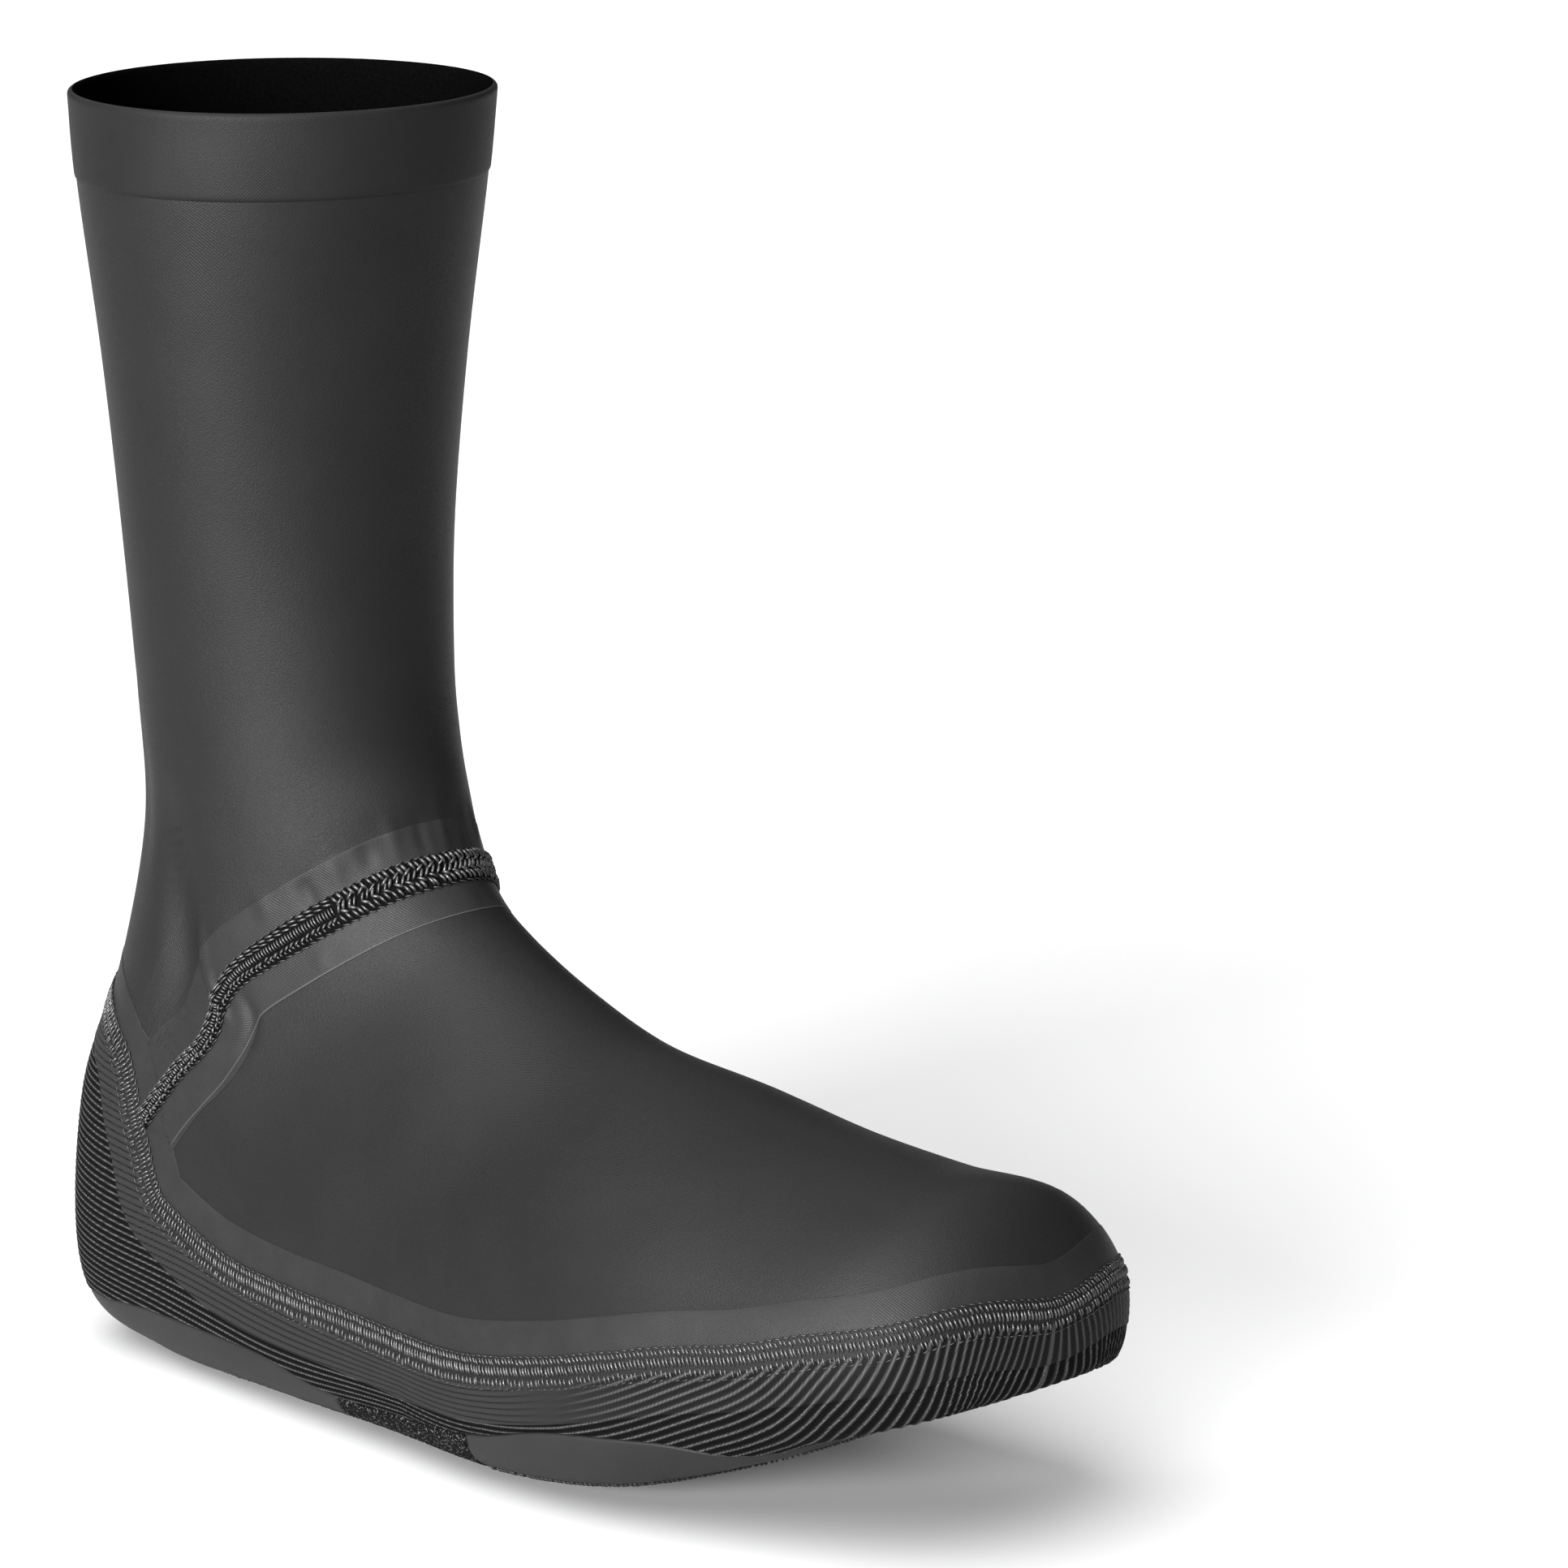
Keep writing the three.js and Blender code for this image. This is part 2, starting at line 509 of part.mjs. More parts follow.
// The ankle seam's strips end on a slant along the rand's tape
function ankleStrip(name, finish, strip, thickness) {
  const distances = steps(strip.from, strip.to, strip.cells);
  const lines = distances.map((distance) => {
    const from = clearOfRand(distance, false);
    const to = ankleSeam.length - clearOfRand(distance, true);
    return evenKnots(ankleSeam, from, to, ANKLE_BAND_COLUMNS)
      .map((knot) => ankleSeam.beside(knot, distance));
  });
  const columns = lines[0].map((_, column) => lines.map((line) => line[column]));
  return sheet(name, finish, columns, TAPE_CLEARANCE, TAPE_CLEARANCE + thickness, false);
}

// A strip under the foot between an outer line and the free edge of an opening
function soleStrip(name, outer, opening, count) {
  const free = new WallLine(opening, false);
  const edge = evenKnots(free, 0, free.length, count);
  const columns = outer.map((place, index) => across(place, free.place(edge[index]), SOLE_ROWS));
  return sheet(name, EDGED, columns, -SOLE_FABRIC, 0, false);
}

function heelStrip() {
  const end = randBottom.distanceAt(STRAP_BACK) - PIECE_GAP;
  const half = evenKnots(randBottom, 0, end, SOLE_COLUMNS / 2)
    .map((knot) => randBottom.beside(knot, -SEAM_INSET));
  const opening = HEEL_OPENING.toReversed();
  return soleStrip("heel_opening_strip", [...half.toReversed(), ...mirrored(half.toReversed()).slice(1)],
    [...opening, ...mirrored(opening).slice(1)], SOLE_COLUMNS);
}

// Behind the toe opening, the forefoot strip's outer line leaves the rand for the opening's rear edge
function forefootStrip() {
  const start = randBottom.distanceAt(STRAP_FRONT) + PIECE_GAP;
  const end = randBottom.distanceAt(TOE_CORNER);
  const side = evenKnots(randBottom, start, end, SOLE_COLUMNS / 2 - TOE_OPENING_COLUMNS - 1)
    .map((knot) => randBottom.beside(knot, -SEAM_INSET));
  const rear = across({ row: OPENING_ROW, girth: OPENING_CORNER }, { row: OPENING_ROW, girth: 0.5 },
    TOE_OPENING_COLUMNS);
  const half = [...side, ...rear];
  return soleStrip("forefoot_opening_strip", [...half, ...mirrored(half).slice(1)],
    [...CLEAT_OPENING, ...mirrored(CLEAT_OPENING).slice(1)], SOLE_COLUMNS);
}

function archStrap() {
  const from = randBottom.distanceAt(STRAP_BACK) + PIECE_GAP;
  const to = randBottom.distanceAt(STRAP_FRONT) - PIECE_GAP;
  const columns = evenKnots(randBottom, from, to, STRAP_COLUMNS).map((knot) => {
    const outer = randBottom.beside(knot, -SEAM_INSET);
    return across(outer, { row: outer.row, girth: 1 - outer.girth }, STRAP_ROWS);
  });
  return sheet("arch_strap", ROUGH, columns, -STRAP_FABRIC, 0, false);
}

const overshoe = new THREE.Group();
overshoe.add(
  cuffBand(),
  leg(),
  footUpper(),
  rand(),
  randSeam("rand_seam_stitching", STITCHED, STITCHING, STITCHING_THICKNESS),
  randSeam("rand_seam_tape_lower", TAPED, LOWER_TAPE, TAPE_THICKNESS),
  randSeam("rand_seam_tape_upper", TAPED, UPPER_TAPE, TAPE_THICKNESS),
  ankleStrip("ankle_seam_stitching", STITCHED, STITCHING, STITCHING_THICKNESS),
  ankleStrip("ankle_seam_tape_lower", TAPED, LOWER_TAPE, TAPE_THICKNESS),
  ankleStrip("ankle_seam_tape_upper", TAPED, UPPER_TAPE, TAPE_THICKNESS),
  heelStrip(),
  forefootStrip(),
  archStrap(),
);
overshoe.position.x = -FOOT_LENGTH / 2;

export default overshoe;
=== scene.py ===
"""A calf-high coated cycling overshoe for the right foot, dressed over its solids.

Lengths are in millimetres until a mesh is made. +X points to the toe, +Y to the wearer's left (the inner
side), +Z up, and the origin is on the ground half way along the foot, as in the solids.
"""

import math

import bpy
import numpy as np
from mathutils import Matrix, Vector


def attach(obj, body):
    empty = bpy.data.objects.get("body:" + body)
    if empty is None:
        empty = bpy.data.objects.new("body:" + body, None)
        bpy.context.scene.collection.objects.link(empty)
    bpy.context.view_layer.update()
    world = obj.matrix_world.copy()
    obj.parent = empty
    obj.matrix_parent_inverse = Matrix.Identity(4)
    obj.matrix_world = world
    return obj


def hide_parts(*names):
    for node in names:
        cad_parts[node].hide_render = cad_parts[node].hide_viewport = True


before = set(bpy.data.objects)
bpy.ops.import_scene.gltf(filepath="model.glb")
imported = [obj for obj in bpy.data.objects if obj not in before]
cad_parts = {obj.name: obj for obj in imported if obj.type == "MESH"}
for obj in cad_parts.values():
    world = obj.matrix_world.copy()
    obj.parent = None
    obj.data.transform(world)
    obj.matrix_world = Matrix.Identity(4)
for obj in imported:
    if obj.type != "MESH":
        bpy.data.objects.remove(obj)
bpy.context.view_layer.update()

METRES = 0.001

# Overall sizes
FOOT_LENGTH = 294
FOOT_WIDTH = 110
HEEL_WIDTH = 80
ANKLE_HEIGHT = 156
ANKLE_WIDTH = 68
CUFF_HEIGHT = 312
CUFF_WIDTH = 105
TOE_OPENING_WIDTH = 62

# Fabrics, seams and tape
PANEL_FABRIC = 1.6
CUFF_FABRIC = 2.4
RAND_FABRIC = 2
SOLE_FABRIC = 1.6
STRAP_FABRIC = 2
CUFF_DEPTH = 21
CUFF_STEP = 0.4
CUFF_LAP = 3
PIECE_GAP = 0.3
SEAM_CLEARANCE = 2
STITCHING_WIDTH = 9
TAPE_WIDTH = 24

# Cross-sections from the cuff rim down the leg and along the foot to the toe opening. Each is a closed
# ring through a front (or top) point and a back (or bottom) point. Front and back distances are shares
# of the foot's length; heights are shares of the ankle's height up to 1 and of the leg above it past 1.
# Outer and inner are half widths in shares of the width named beside them, widest is where the ring is
# widest on the way from front to back, front and back are how square its ends are, and front_y and
# back_y are how far its end points lie to the inner side, in shares of the foot's width.
SECTION_COLUMNS = ("front_x", "front_z", "back_x", "back_z", "width", "outer", "inner", "widest",
                   "front", "back", "front_y", "back_y")
SECTIONS = {
    "rim": (0.367, 2, 0.032, 2, CUFF_WIDTH, 0.49, 0.495, 0.49, 2, 2, 0, 0),
    "cuff": (0.358, 1.86, 0.04, 1.86, CUFF_WIDTH, 0.48, 0.48, 0.49, 2, 2, 0, 0),
    "calf": (0.341, 1.6, 0.057, 1.58, CUFF_WIDTH, 0.43, 0.43, 0.49, 2, 2, 0, 0),
    "shin": (0.333, 1.34, 0.066, 1.28, CUFF_WIDTH, 0.38, 0.385, 0.49, 2, 2, 0, 0),
    "ankle top": (0.34, 1.13, 0.071, 1.03, ANKLE_WIDTH, 0.525, 0.525, 0.49, 2.1, 2.1, 0, 0),
    "ankle": (0.35, 1.03, 0.074, 0.82, ANKLE_WIDTH, 0.515, 0.515, 0.51, 2.1, 2.1, 0, 0),
    "ankle bend": (0.366, 0.955, 0.042, 0.57, HEEL_WIDTH, 0.445, 0.45, 0.54, 2.1, 2.2, 0, 0),
    "heel back": (0.38, 0.88, 0, 0.335, HEEL_WIDTH, 0.48, 0.48, 0.6, 2.1, 2.3, 0.01, 0),
    "heel corner": (0.403, 0.81, 0.018, 0.05, HEEL_WIDTH, 0.505, 0.5, 0.64, 2.1, 2.8, 0.01, 0),
    "heel sole": (0.434, 0.755, 0.126, -0.01, HEEL_WIDTH, 0.505, 0.5, 0.67, 2.1, 3.4, 0.02, 0),
    "arch": (0.493, 0.685, 0.285, -0.01, FOOT_WIDTH, 0.4, 0.38, 0.67, 2.1, 3.6, 0.03, 0),
    "waist": (0.568, 0.62, 0.425, -0.008, FOOT_WIDTH, 0.435, 0.42, 0.65, 2.1, 3.6, 0.04, 0.01),
    "ball": (0.656, 0.582, 0.572, -0.008, FOOT_WIDTH, 0.488, 0.48, 0.62, 2.2, 3.6, 0.05, 0.02),
    "toe joint": (0.75, 0.542, 0.687, 0.02, FOOT_WIDTH, 0.49, 0.489, 0.6, 2.3, 3.6, 0.06, 0.03),
    "toe box": (0.85, 0.52, 0.785, 0.08, FOOT_WIDTH, 0.461, 0.46, 0.62, 2.3, 3.8, 0.09, 0.07),
    "toe top": (0.945, 0.51, 0.836, 0.12, FOOT_WIDTH, 0.43, 0.433, 0.67, 2.3, 4, 0.12, 0.1),
    "toe tip": (1, 0.41, 0.858, 0.145, FOOT_WIDTH, 0.41, 0.413, 0.73, 2.3, 4, 0.13, 0.12),
    "toe edge": (0.997, 0.26, 0.87, 0.16, FOOT_WIDTH, 0.365, 0.37, 0.7, 2.3, 4, 0.14, 0.13),
    "toe opening": (0.96, 0.22, 0.878, 0.168, TOE_OPENING_WIDTH, 0.5, 0.5, 0.6, 2.4, 3.6, 0.15, 0.14),
}
OPENING_ROW = len(SECTIONS) - 1

# Places on the wall are given by row, a place in the table above, and girth, the share of the way round
# the ring: 0 in front and on top, 0.25 on the outer side, 0.5 at the back and under the sole, and
# negative on the inner side.

# The rand's two edges from the heel back round the outer side to the toe tip: top row and girth,
# bottom row and girth. The inner side mirrors it.
RAND = {
    "heel back": (5.85, 0.5, 7.85, 0.5),
    "heel curve": (6.25, 0.37, 8.12, 0.385),
    "heel side": (6.95, 0.285, 8.5, 0.354),
    "junction": (7.7, 0.249, 8.9, 0.34),
    "heel front": (8.5, 0.252, 9.35, 0.333),
    "heel end": (9.6, 0.267, 9.95, 0.335),
    "arch": (10.5, 0.268, 10.7, 0.352),
    "waist": (11.6, 0.27, 11.9, 0.336),
    "ball": (12.6, 0.25, 12.7, 0.316),
    "toe joint": (13.5, 0.233, 13.6, 0.326),
    "toe side": (14.5, 0.22, 14.9, 0.375),
    "toe corner": (15.3, 0.192, 17, 0.375),
    "toe bend": (15.85, 0.147, OPENING_ROW, 0.3),
    "toe front": (16.15, 0.08, OPENING_ROW, 0.16),
    "toe tip": (16.35, 0, OPENING_ROW, 0),
}
RAND_PLACES = list(RAND)
JUNCTION = RAND_PLACES.index("junction")
STRAP_BACK = RAND_PLACES.index("arch")
STRAP_FRONT = RAND_PLACES.index("waist")
TOE_CORNER = RAND_PLACES.index("toe corner")
LAST_KNOT = 2 * (len(RAND) - 1)

# The ankle seam from the rand's outer side over the instep to its inner side, as row and girth
ANKLE_SEAM = {
    "outer junction": (7.7, 0.249),
    "outer rise": (7.6, 0.219),
    "step bottom": (7.56, 0.194),
    "step top": (7.26, 0.178),
    "outer instep": (7.27, 0.142),
    "outer front": (7.38, 0.08),
    "front": (7.56, 0),
    "inner front": (7.5, -0.08),
    "inner instep": (7.43, -0.15),
    "inner rise": (7.55, -0.21),
    "inner junction": (7.7, -0.249),
}

# The free edges of the two sole strips on the outer side
HEEL_OPENING = {
    "back": (8.72, 0.5),
    "back corner": (8.82, 0.45),
    "side": (9.2, 0.414),
    "side front": (9.9, 0.404),
    "strap": (10.7, 0.398),
}
CLEAT_OPENING = {
    "strap": (11.9, 0.39),
    "side": (12.7, 0.402),
    "side front": (13.6, 0.416),
    "front corner": (14.3, 0.445),
    "front": (14.5, 0.5),
}
OPENING_CORNER = 0.36

# Folds on the wall, each a smooth line through places: its half width and its height, negative for a
# hollow
FOLDS = {
    "hollow behind the ankle bone": (
        ((5.0, 0.29), (5.6, 0.262), (6.2, 0.24), (6.75, 0.22), (7.1, 0.222), (7.35, 0.236)), 7, -3.2),
    "crease into the step": (((6.2, 0.224), (6.6, 0.21), (6.98, 0.197)), 1.9, 1.2),
    "pinch at the step": (((6.8, 0.204), (7.12, 0.194), (7.4, 0.185), (7.6, 0.18)), 1.3, 1.3),
    "fold in front of the step": (((7.42, 0.172), (7.7, 0.166), (7.9, 0.169), (8.02, 0.18)), 1.8, -0.9),
    "fold below the junction": (((7.8, 0.24), (7.95, 0.232), (8.1, 0.224)), 1.3, -0.6),
    "hollow in front of the heel tendon": (((3.9, 0.36), (4.8, 0.35), (5.6, 0.33)), 6, -0.8),
}

# Gathers across the ankle seam: where along it, as a share of its length, how far above the seam they
# start and end, their half width and their height
GATHERS = {
    "shin middle": (0.5, 2, 19, 1.3, 0.5),
    "shin outer": (0.475, 3, 15, 1.2, -0.55),
    "shin outer wide": (0.448, 4, 17, 1.7, 0.5),
    "shin outer dent": (0.42, 5, 12, 1.8, -0.45),
    "instep ridge": (0.385, 4, 13, 2.4, 0.55),
    "instep dent": (0.35, 2, 11, 2.2, -0.8),
    "instep": (0.3, 6, 14, 2.2, 0.35),
    "shin inner": (0.53, 3, 15, 1.2, -0.5),
    "shin inner wide": (0.565, 4, 17, 1.6, 0.5),
    "inner instep dent": (0.68, 4.5, 11, 2, -0.5),
    "inner instep": (0.72, 5, 12, 2, 0.35),
    "inner rise": (0.84, 5, 12, 1.8, -0.4),
    "vamp outer": (0.33, -12, -5, 2, 0.25),
    "vamp middle": (0.52, -12, -5, 2.2, -0.3),
    "vamp inner": (0.7, -12, -5, 2, -0.3),
}

# The rand's ribs, from the heel back to the toe tip: distance along the seam as a share of the way, the
# ribs' pitch, and the angle in degrees at which they climb towards the seam
RIBS = {
    "heel back": (0, 1.8, 0),
    "heel curve": (0.12, 1.75, -8),
    "heel side": (0.27, 1.55, -10),
    "heel end": (0.4, 1.3, -5),
    "arch": (0.5, 1.15, 0),
    "waist": (0.58, 1.35, 3),
    "ball": (0.68, 1.8, 10),
    "toe joint": (0.76, 2, 20),
    "toe side": (0.84, 2.1, 42),
    "toe corner": (0.92, 2.1, 68),
    "toe tip": (1, 2.1, 90),
}
RIB_HEIGHT = 0.32
RIB_SHARPNESS = 2.4

# The ribs that run nearly level round the heel: their pitch and slope. The share of the way at which
# their count meets the other ribs', and between which shares they turn into them.
HEEL_RIB_PITCH = 1.75
HEEL_RIB_SLOPE = 0.12
HEEL_RIBS_MEET = 0.42
HEEL_RIBS_TURN = (0.34, 0.5)

# Between which distances ahead of the foot's middle the ribs under the tape turn from painted shade to
# painted highlights
FRONT = (30, 85)

# How narrow the ankle seam is at its ends, and between which shares of its length it widens
NARROW_END = 0.58
NARROW_RANGE = (0.12, 0.36)

# The share of the ankle seam behind its braided middle, on either side
BRAID_START = 0.37

# Lights far away: azimuth and elevation of each in degrees, its width in degrees and its strength
SUNS = {
    "key": (16, 8, 30, 15.5),
    "upper key": (8, 60, 60, 6.5),
    "back": (235, 55, 60, 0.8),
}
WORLD_LIGHT = 0.1

# How finely the surfaces are divided: points along lines, columns round a piece, and cells across it
CURVE_STEPS = 16
SLIDE_STEPS = 14
EDGE_STEPS = 4
FOLD_POINTS = 25
COLUMN_POINTS = 17
SEAM_POINTS = 600
RIB_POINTS = 401
LEG_COLUMNS = 230
LEG_FRONT = 0.56
LEG_CELLS = 120
LEG_CROWDING = 0.6
FOOT_COLUMNS = 230
FOOT_CELLS = 90
CUFF_CELLS = 24
INNER_CELLS = 24
TAPE_CELLS = 10
RIB_TAPE_CELLS = 24
GROUND_CELLS = 8
STRIP_CELLS = 24
STRAP_CELLS = 220
STRIP_COLUMNS = 90
FOREFOOT_COLUMNS = 76
REAR_COLUMNS = 20
STITCH_POINTS = 5
STITCH_SIDES = 5

# Cells in millimetres: across the rand at heel and toe, along it, and along the tapes
HEEL_RIB_CELL = 0.38
TOE_RIB_CELL = 0.5
HEEL_CELL = 1.2
SIDE_CELL = 1.6
TOE_CELL = 0.7
TAPE_CELL = 1.1

# The tapes' films: where they start beside the seam, how thick they are, how far they stand off and how
# much of the ribs' height shows through
TAPE_START = 2
TAPE_FILM = 0.3
TAPE_LIFT = 0.15
TAPE_RELIEF = 0.5

# The ground under the stitches, over the rand and over the instep: how much narrower it is than the
# stitching on either side, and how high it lies
RAND_GROUND = (0.5, 0.3)
ANKLE_GROUND = (0.4, 0.4)

# How far the ankle seam's tapes and stitches reach into the rand's seam
TAPE_OVERLAP = 1
STITCH_OVERLAP = 0.5

# The arch strap's lumps: their height, their size and after how many they repeat
LUMP_HEIGHT = 0.35
LUMP_SIZE = 0.55
LUMP_REPEAT = (97, 89)


def straight_past(table):
    """A table with one more row at each end, straight on"""
    return np.concatenate([[2 * table[0] - table[1]], table, [2 * table[-1] - table[-2]]])


def between(longer, place):
    """Values between a table's rows on a Catmull-Rom curve. longer has one more row at each end."""
    index = np.clip(np.floor(place).astype(int), 0, len(longer) - 4)
    t = (place - index)[..., None]
    before, start, end, after = (longer[index + k] for k in range(4))
    slope = end - before
    bend = 2 * before - 5 * start + 4 * end - after
    twist = 3 * (start - end) + after - before
    return 0.5 * (2 * start + slope * t + bend * t**2 + twist * t**3)


def section_lengths(section):
    """A row of SECTIONS in millimetres: its two end points, its half widths and its form"""
    values = dict(zip(SECTION_COLUMNS, section))

    def height(share):
        if share <= 1:
            return share * ANKLE_HEIGHT
        return ANKLE_HEIGHT + (share - 1) * (CUFF_HEIGHT - ANKLE_HEIGHT)

    return (
        (values["front_x"] - 0.5) * FOOT_LENGTH,
        values["front_y"] * FOOT_WIDTH,
        height(values["front_z"]),
        (values["back_x"] - 0.5) * FOOT_LENGTH,
        values["back_y"] * FOOT_WIDTH,
        height(values["back_z"]),
        values["outer"] * values["width"],
        values["inner"] * values["width"],
        values["widest"],
        values["front"],
        values["back"],
    )


LENGTHS = straight_past(np.array([section_lengths(section) for section in SECTIONS.values()]))


def wall_point(row, girth):
    """Points on the outside of the wall. The sole is flat where it would reach below the ground."""
    row, girth = np.broadcast_arrays(np.asarray(row, float), np.asarray(girth, float))
    ring = between(LENGTHS, np.clip(row, 0, OPENING_ROW))
    front = ring[..., 0:3]
    back = ring[..., 3:6]
    outer, inner, widest, front_power, back_power = np.moveaxis(ring[..., 6:], -1, 0)
    up = np.cos(2 * np.pi * girth)
    side = np.sin(2 * np.pi * girth)
    power = np.where(up >= 0, front_power, back_power)
    reach = (np.abs(up) ** power + np.abs(side) ** power) ** (-1 / power)
    span = np.where(up >= 0, widest, 1 - widest)
    down = (widest - span * reach * up)[..., None]
    half = np.where(side >= 0, -outer, inner)
    point = front + (back - front) * down
    point[..., 1] += half * reach * np.abs(side)
    point[..., 2] = np.maximum(point[..., 2], 0)
    return point


def wall_frame(row, girth):
    """The wall's directions at places: along the rows, round the girth, and straight out"""
    row_step = 0.02
    girth_step = 0.002
    after = np.minimum(row + row_step, OPENING_ROW)
    before = np.maximum(np.minimum(row, OPENING_ROW) - row_step, 0)
    along_row = (wall_point(after, girth) - wall_point(before, girth)) / (after - before)[..., None]
    along_girth = wall_point(row, girth + girth_step) - wall_point(row, girth - girth_step)
    along_girth /= 2 * girth_step
    out = np.cross(along_girth, along_row)
    out /= np.linalg.norm(out, axis=-1, keepdims=True)
    return along_row, along_girth, out


def dot(a, b):
    return np.sum(a * b, axis=-1)


def slide(row, girth, direction, distance):
    """The places a distance away over the wall, in short steps that follow its bends"""
    row = np.array(row, float)
    girth = np.array(girth, float)
    for _ in range(SLIDE_STEPS):
        along_row, along_girth, out = wall_frame(row, girth)
        move = direction - out * dot(direction, out)[..., None]
        move *= (distance / SLIDE_STEPS / np.linalg.norm(move, axis=-1))[..., None]
        row_row = dot(along_row, along_row)
        row_girth = dot(along_row, along_girth)
        girth_girth = dot(along_girth, along_girth)
        move_row = dot(along_row, move)
        move_girth = dot(along_girth, move)
        scale = row_row * girth_girth - row_girth**2
        row = row + (move_row * girth_girth - move_girth * row_girth) / scale
        girth = girth + (move_girth * row_row - move_row * row_girth) / scale
    return row, girth


class WallLine:
    """A smooth line on the wall through places, measured along the wall. A closed one ends where it
    starts."""

    def __init__(self, places, closed=False):
        places = np.array(places, float)
        self.closed = closed
        self.longer = straight_past(places)
        if closed:
            turn = places[0] - places[-1]
            self.longer[0] = places[-2] + turn
            self.longer[-1] = places[1] - turn
        self.last = len(places) - 1
        self.knots = np.linspace(0, self.last, self.last * CURVE_STEPS + 1)
        self.points = wall_point(*self.place(self.knots))
        gaps = np.linalg.norm(np.diff(self.points, axis=0), axis=1)
        self.lengths = np.concatenate([[0], np.cumsum(gaps)])
        self.length = self.lengths[-1]

    def place(self, knot):
        place = between(self.longer, np.clip(knot, 0, self.last))
        return place[..., 0], place[..., 1]

    def knot_at(self, distance):
        return np.interp(distance, self.lengths, self.knots)

    def distance_at(self, knot):
        return np.interp(knot, self.knots, self.lengths)

    def wrap(self, knot):
        return np.mod(knot, self.last) if self.closed else knot

    def beside(self, knot, distance):
        """The places at knots moved sideways over the wall, to the left of the line seen from outside"""
        reach = 0.05
        knot, distance = np.broadcast_arrays(np.asarray(knot, float), np.asarray(distance, float))
        row, girth = self.place(knot)
        ahead = wall_point(*self.place(self.wrap(knot + reach)))
        behind = wall_point(*self.place(self.wrap(knot - reach)))
        left = np.cross(wall_frame(row, girth)[2], ahead - behind)
        return slide(row, girth, left, distance)


def inner_half(places):
    """The places of the inner side, back from the toe tip to the heel back"""
    return [(row, -girth) for row, girth in reversed(places[:-1])]


def mirrored(places):
    """The mirror image of places on the other side, in the opposite order and without the middle"""
    return [(row, 1 - girth) for row, girth in reversed(places)]


TOP_HALF = [(values[0], values[1]) for values in RAND.values()]
BOTTOM_HALF = [(values[2], values[3]) for values in RAND.values()]
rand_top = WallLine(TOP_HALF + inner_half(TOP_HALF), closed=True)
rand_bottom = WallLine(BOTTOM_HALF + inner_half(BOTTOM_HALF), closed=True)
ankle_seam = WallLine(list(ANKLE_SEAM.values()))


def even_knots(line, start, end, count):
    return line.knot_at(np.linspace(start, end, count + 1))


def fold_lines():
    """The folds and gathers as points along each, with its half width and height"""
    lines = []
    steps = np.linspace(0, 1, FOLD_POINTS)
    for places, width, height in FOLDS.values():
        line = WallLine(places)
        lines.append((wall_point(*line.place(steps * line.last)), width, height))
    for share, start, end, width, height in GATHERS.values():
        knot = ankle_seam.knot_at(share * ankle_seam.length)
        places = ankle_seam.beside(np.full_like(steps, knot), start + (end - start) * steps)
        lines.append((wall_point(*places), width, height))
    return lines


FOLD_LINES = fold_lines()


def relief(points):
    """How far the folds lift the fabric off the wall at points"""
    reach = 3
    end = 0.04
    fullness = 0.7
    lift = np.zeros(len(points))
    for line, width, height in FOLD_LINES:
        low = line.min(axis=0) - reach * width
        high = line.max(axis=0) + reach * width
        near = np.flatnonzero(np.all((points > low) & (points < high), axis=1))
        if not len(near):
            continue
        gaps = np.linalg.norm(points[near, None] - line[None], axis=2)
        along = np.argmin(gaps, axis=1) / (len(line) - 1)
        fade = np.sin(np.pi * np.clip(along, end, 1 - end)) ** fullness
        lift[near] += height * fade * np.exp(-(gaps.min(axis=1) / width) ** 2)
    return lift


def smooth_step(start, end, value):
    share = np.clip((value - start) / (end - start), 0, 1)
    return share * share * (3 - 2 * share)


def level_ribs(points):
    """The count of ribs that run round the heel, nearly level"""
    return (points[:, 2] + HEEL_RIB_SLOPE * (points[:, 0] + FOOT_LENGTH / 2)) / HEEL_RIB_PITCH


def nearest_on(line, points):
    """Which of a line's points is nearest to each point, worked out in batches"""
    batch = 4000
    return np.concatenate([
        np.argmin(np.linalg.norm(some[:, None] - line[None], axis=2), axis=1)
        for some in np.array_split(points, len(points) // batch + 1)
    ])


def rib_phase(points):
    """The rib count at points on the rand. Whole numbers are the ribs' crests."""
    half = rand_top.length / 2
    line_distances = np.linspace(0, rand_top.length, SEAM_POINTS)
    line = wall_point(*rand_top.place(rand_top.knot_at(line_distances)))
    nearest = nearest_on(line, points)
    forward = line[(nearest + 1) % len(line)] - line[nearest - 1]
    forward /= np.linalg.norm(forward, axis=1, keepdims=True)
    offset = points - line[nearest]
    ahead = dot(offset, forward)
    below = np.sqrt(np.maximum(dot(offset, offset) - ahead**2, 0))
    share = 1 - np.abs(line_distances[nearest] + ahead - half) / half
    table = np.array(list(RIBS.values()))
    shares = np.linspace(0, 1, RIB_POINTS)
    pitch = np.interp(shares, table[:, 0], table[:, 1])
    angle = np.radians(np.interp(shares, table[:, 0], table[:, 2]))
    passed = np.concatenate([[0], np.cumsum((np.sin(angle) / pitch)[:-1] * np.diff(shares) * half)])
    climb = np.cos(np.interp(share, shares, angle)) / np.interp(share, shares, pitch)
    meeting = wall_point(*rand_top.place(rand_top.knot_at(np.array([HEEL_RIBS_MEET * half]))))
    start = level_ribs(meeting) + np.interp(HEEL_RIBS_MEET, shares, passed)
    along_seam = start - below * climb - np.interp(share, shares, passed)
    turn = smooth_step(*HEEL_RIBS_TURN, share)
    return level_ribs(points) * (1 - turn) + along_seam * turn


def frontness(points):
    """0 on the back half of the foot and 1 round the toe"""
    return smooth_step(*FRONT, points[:, 0])


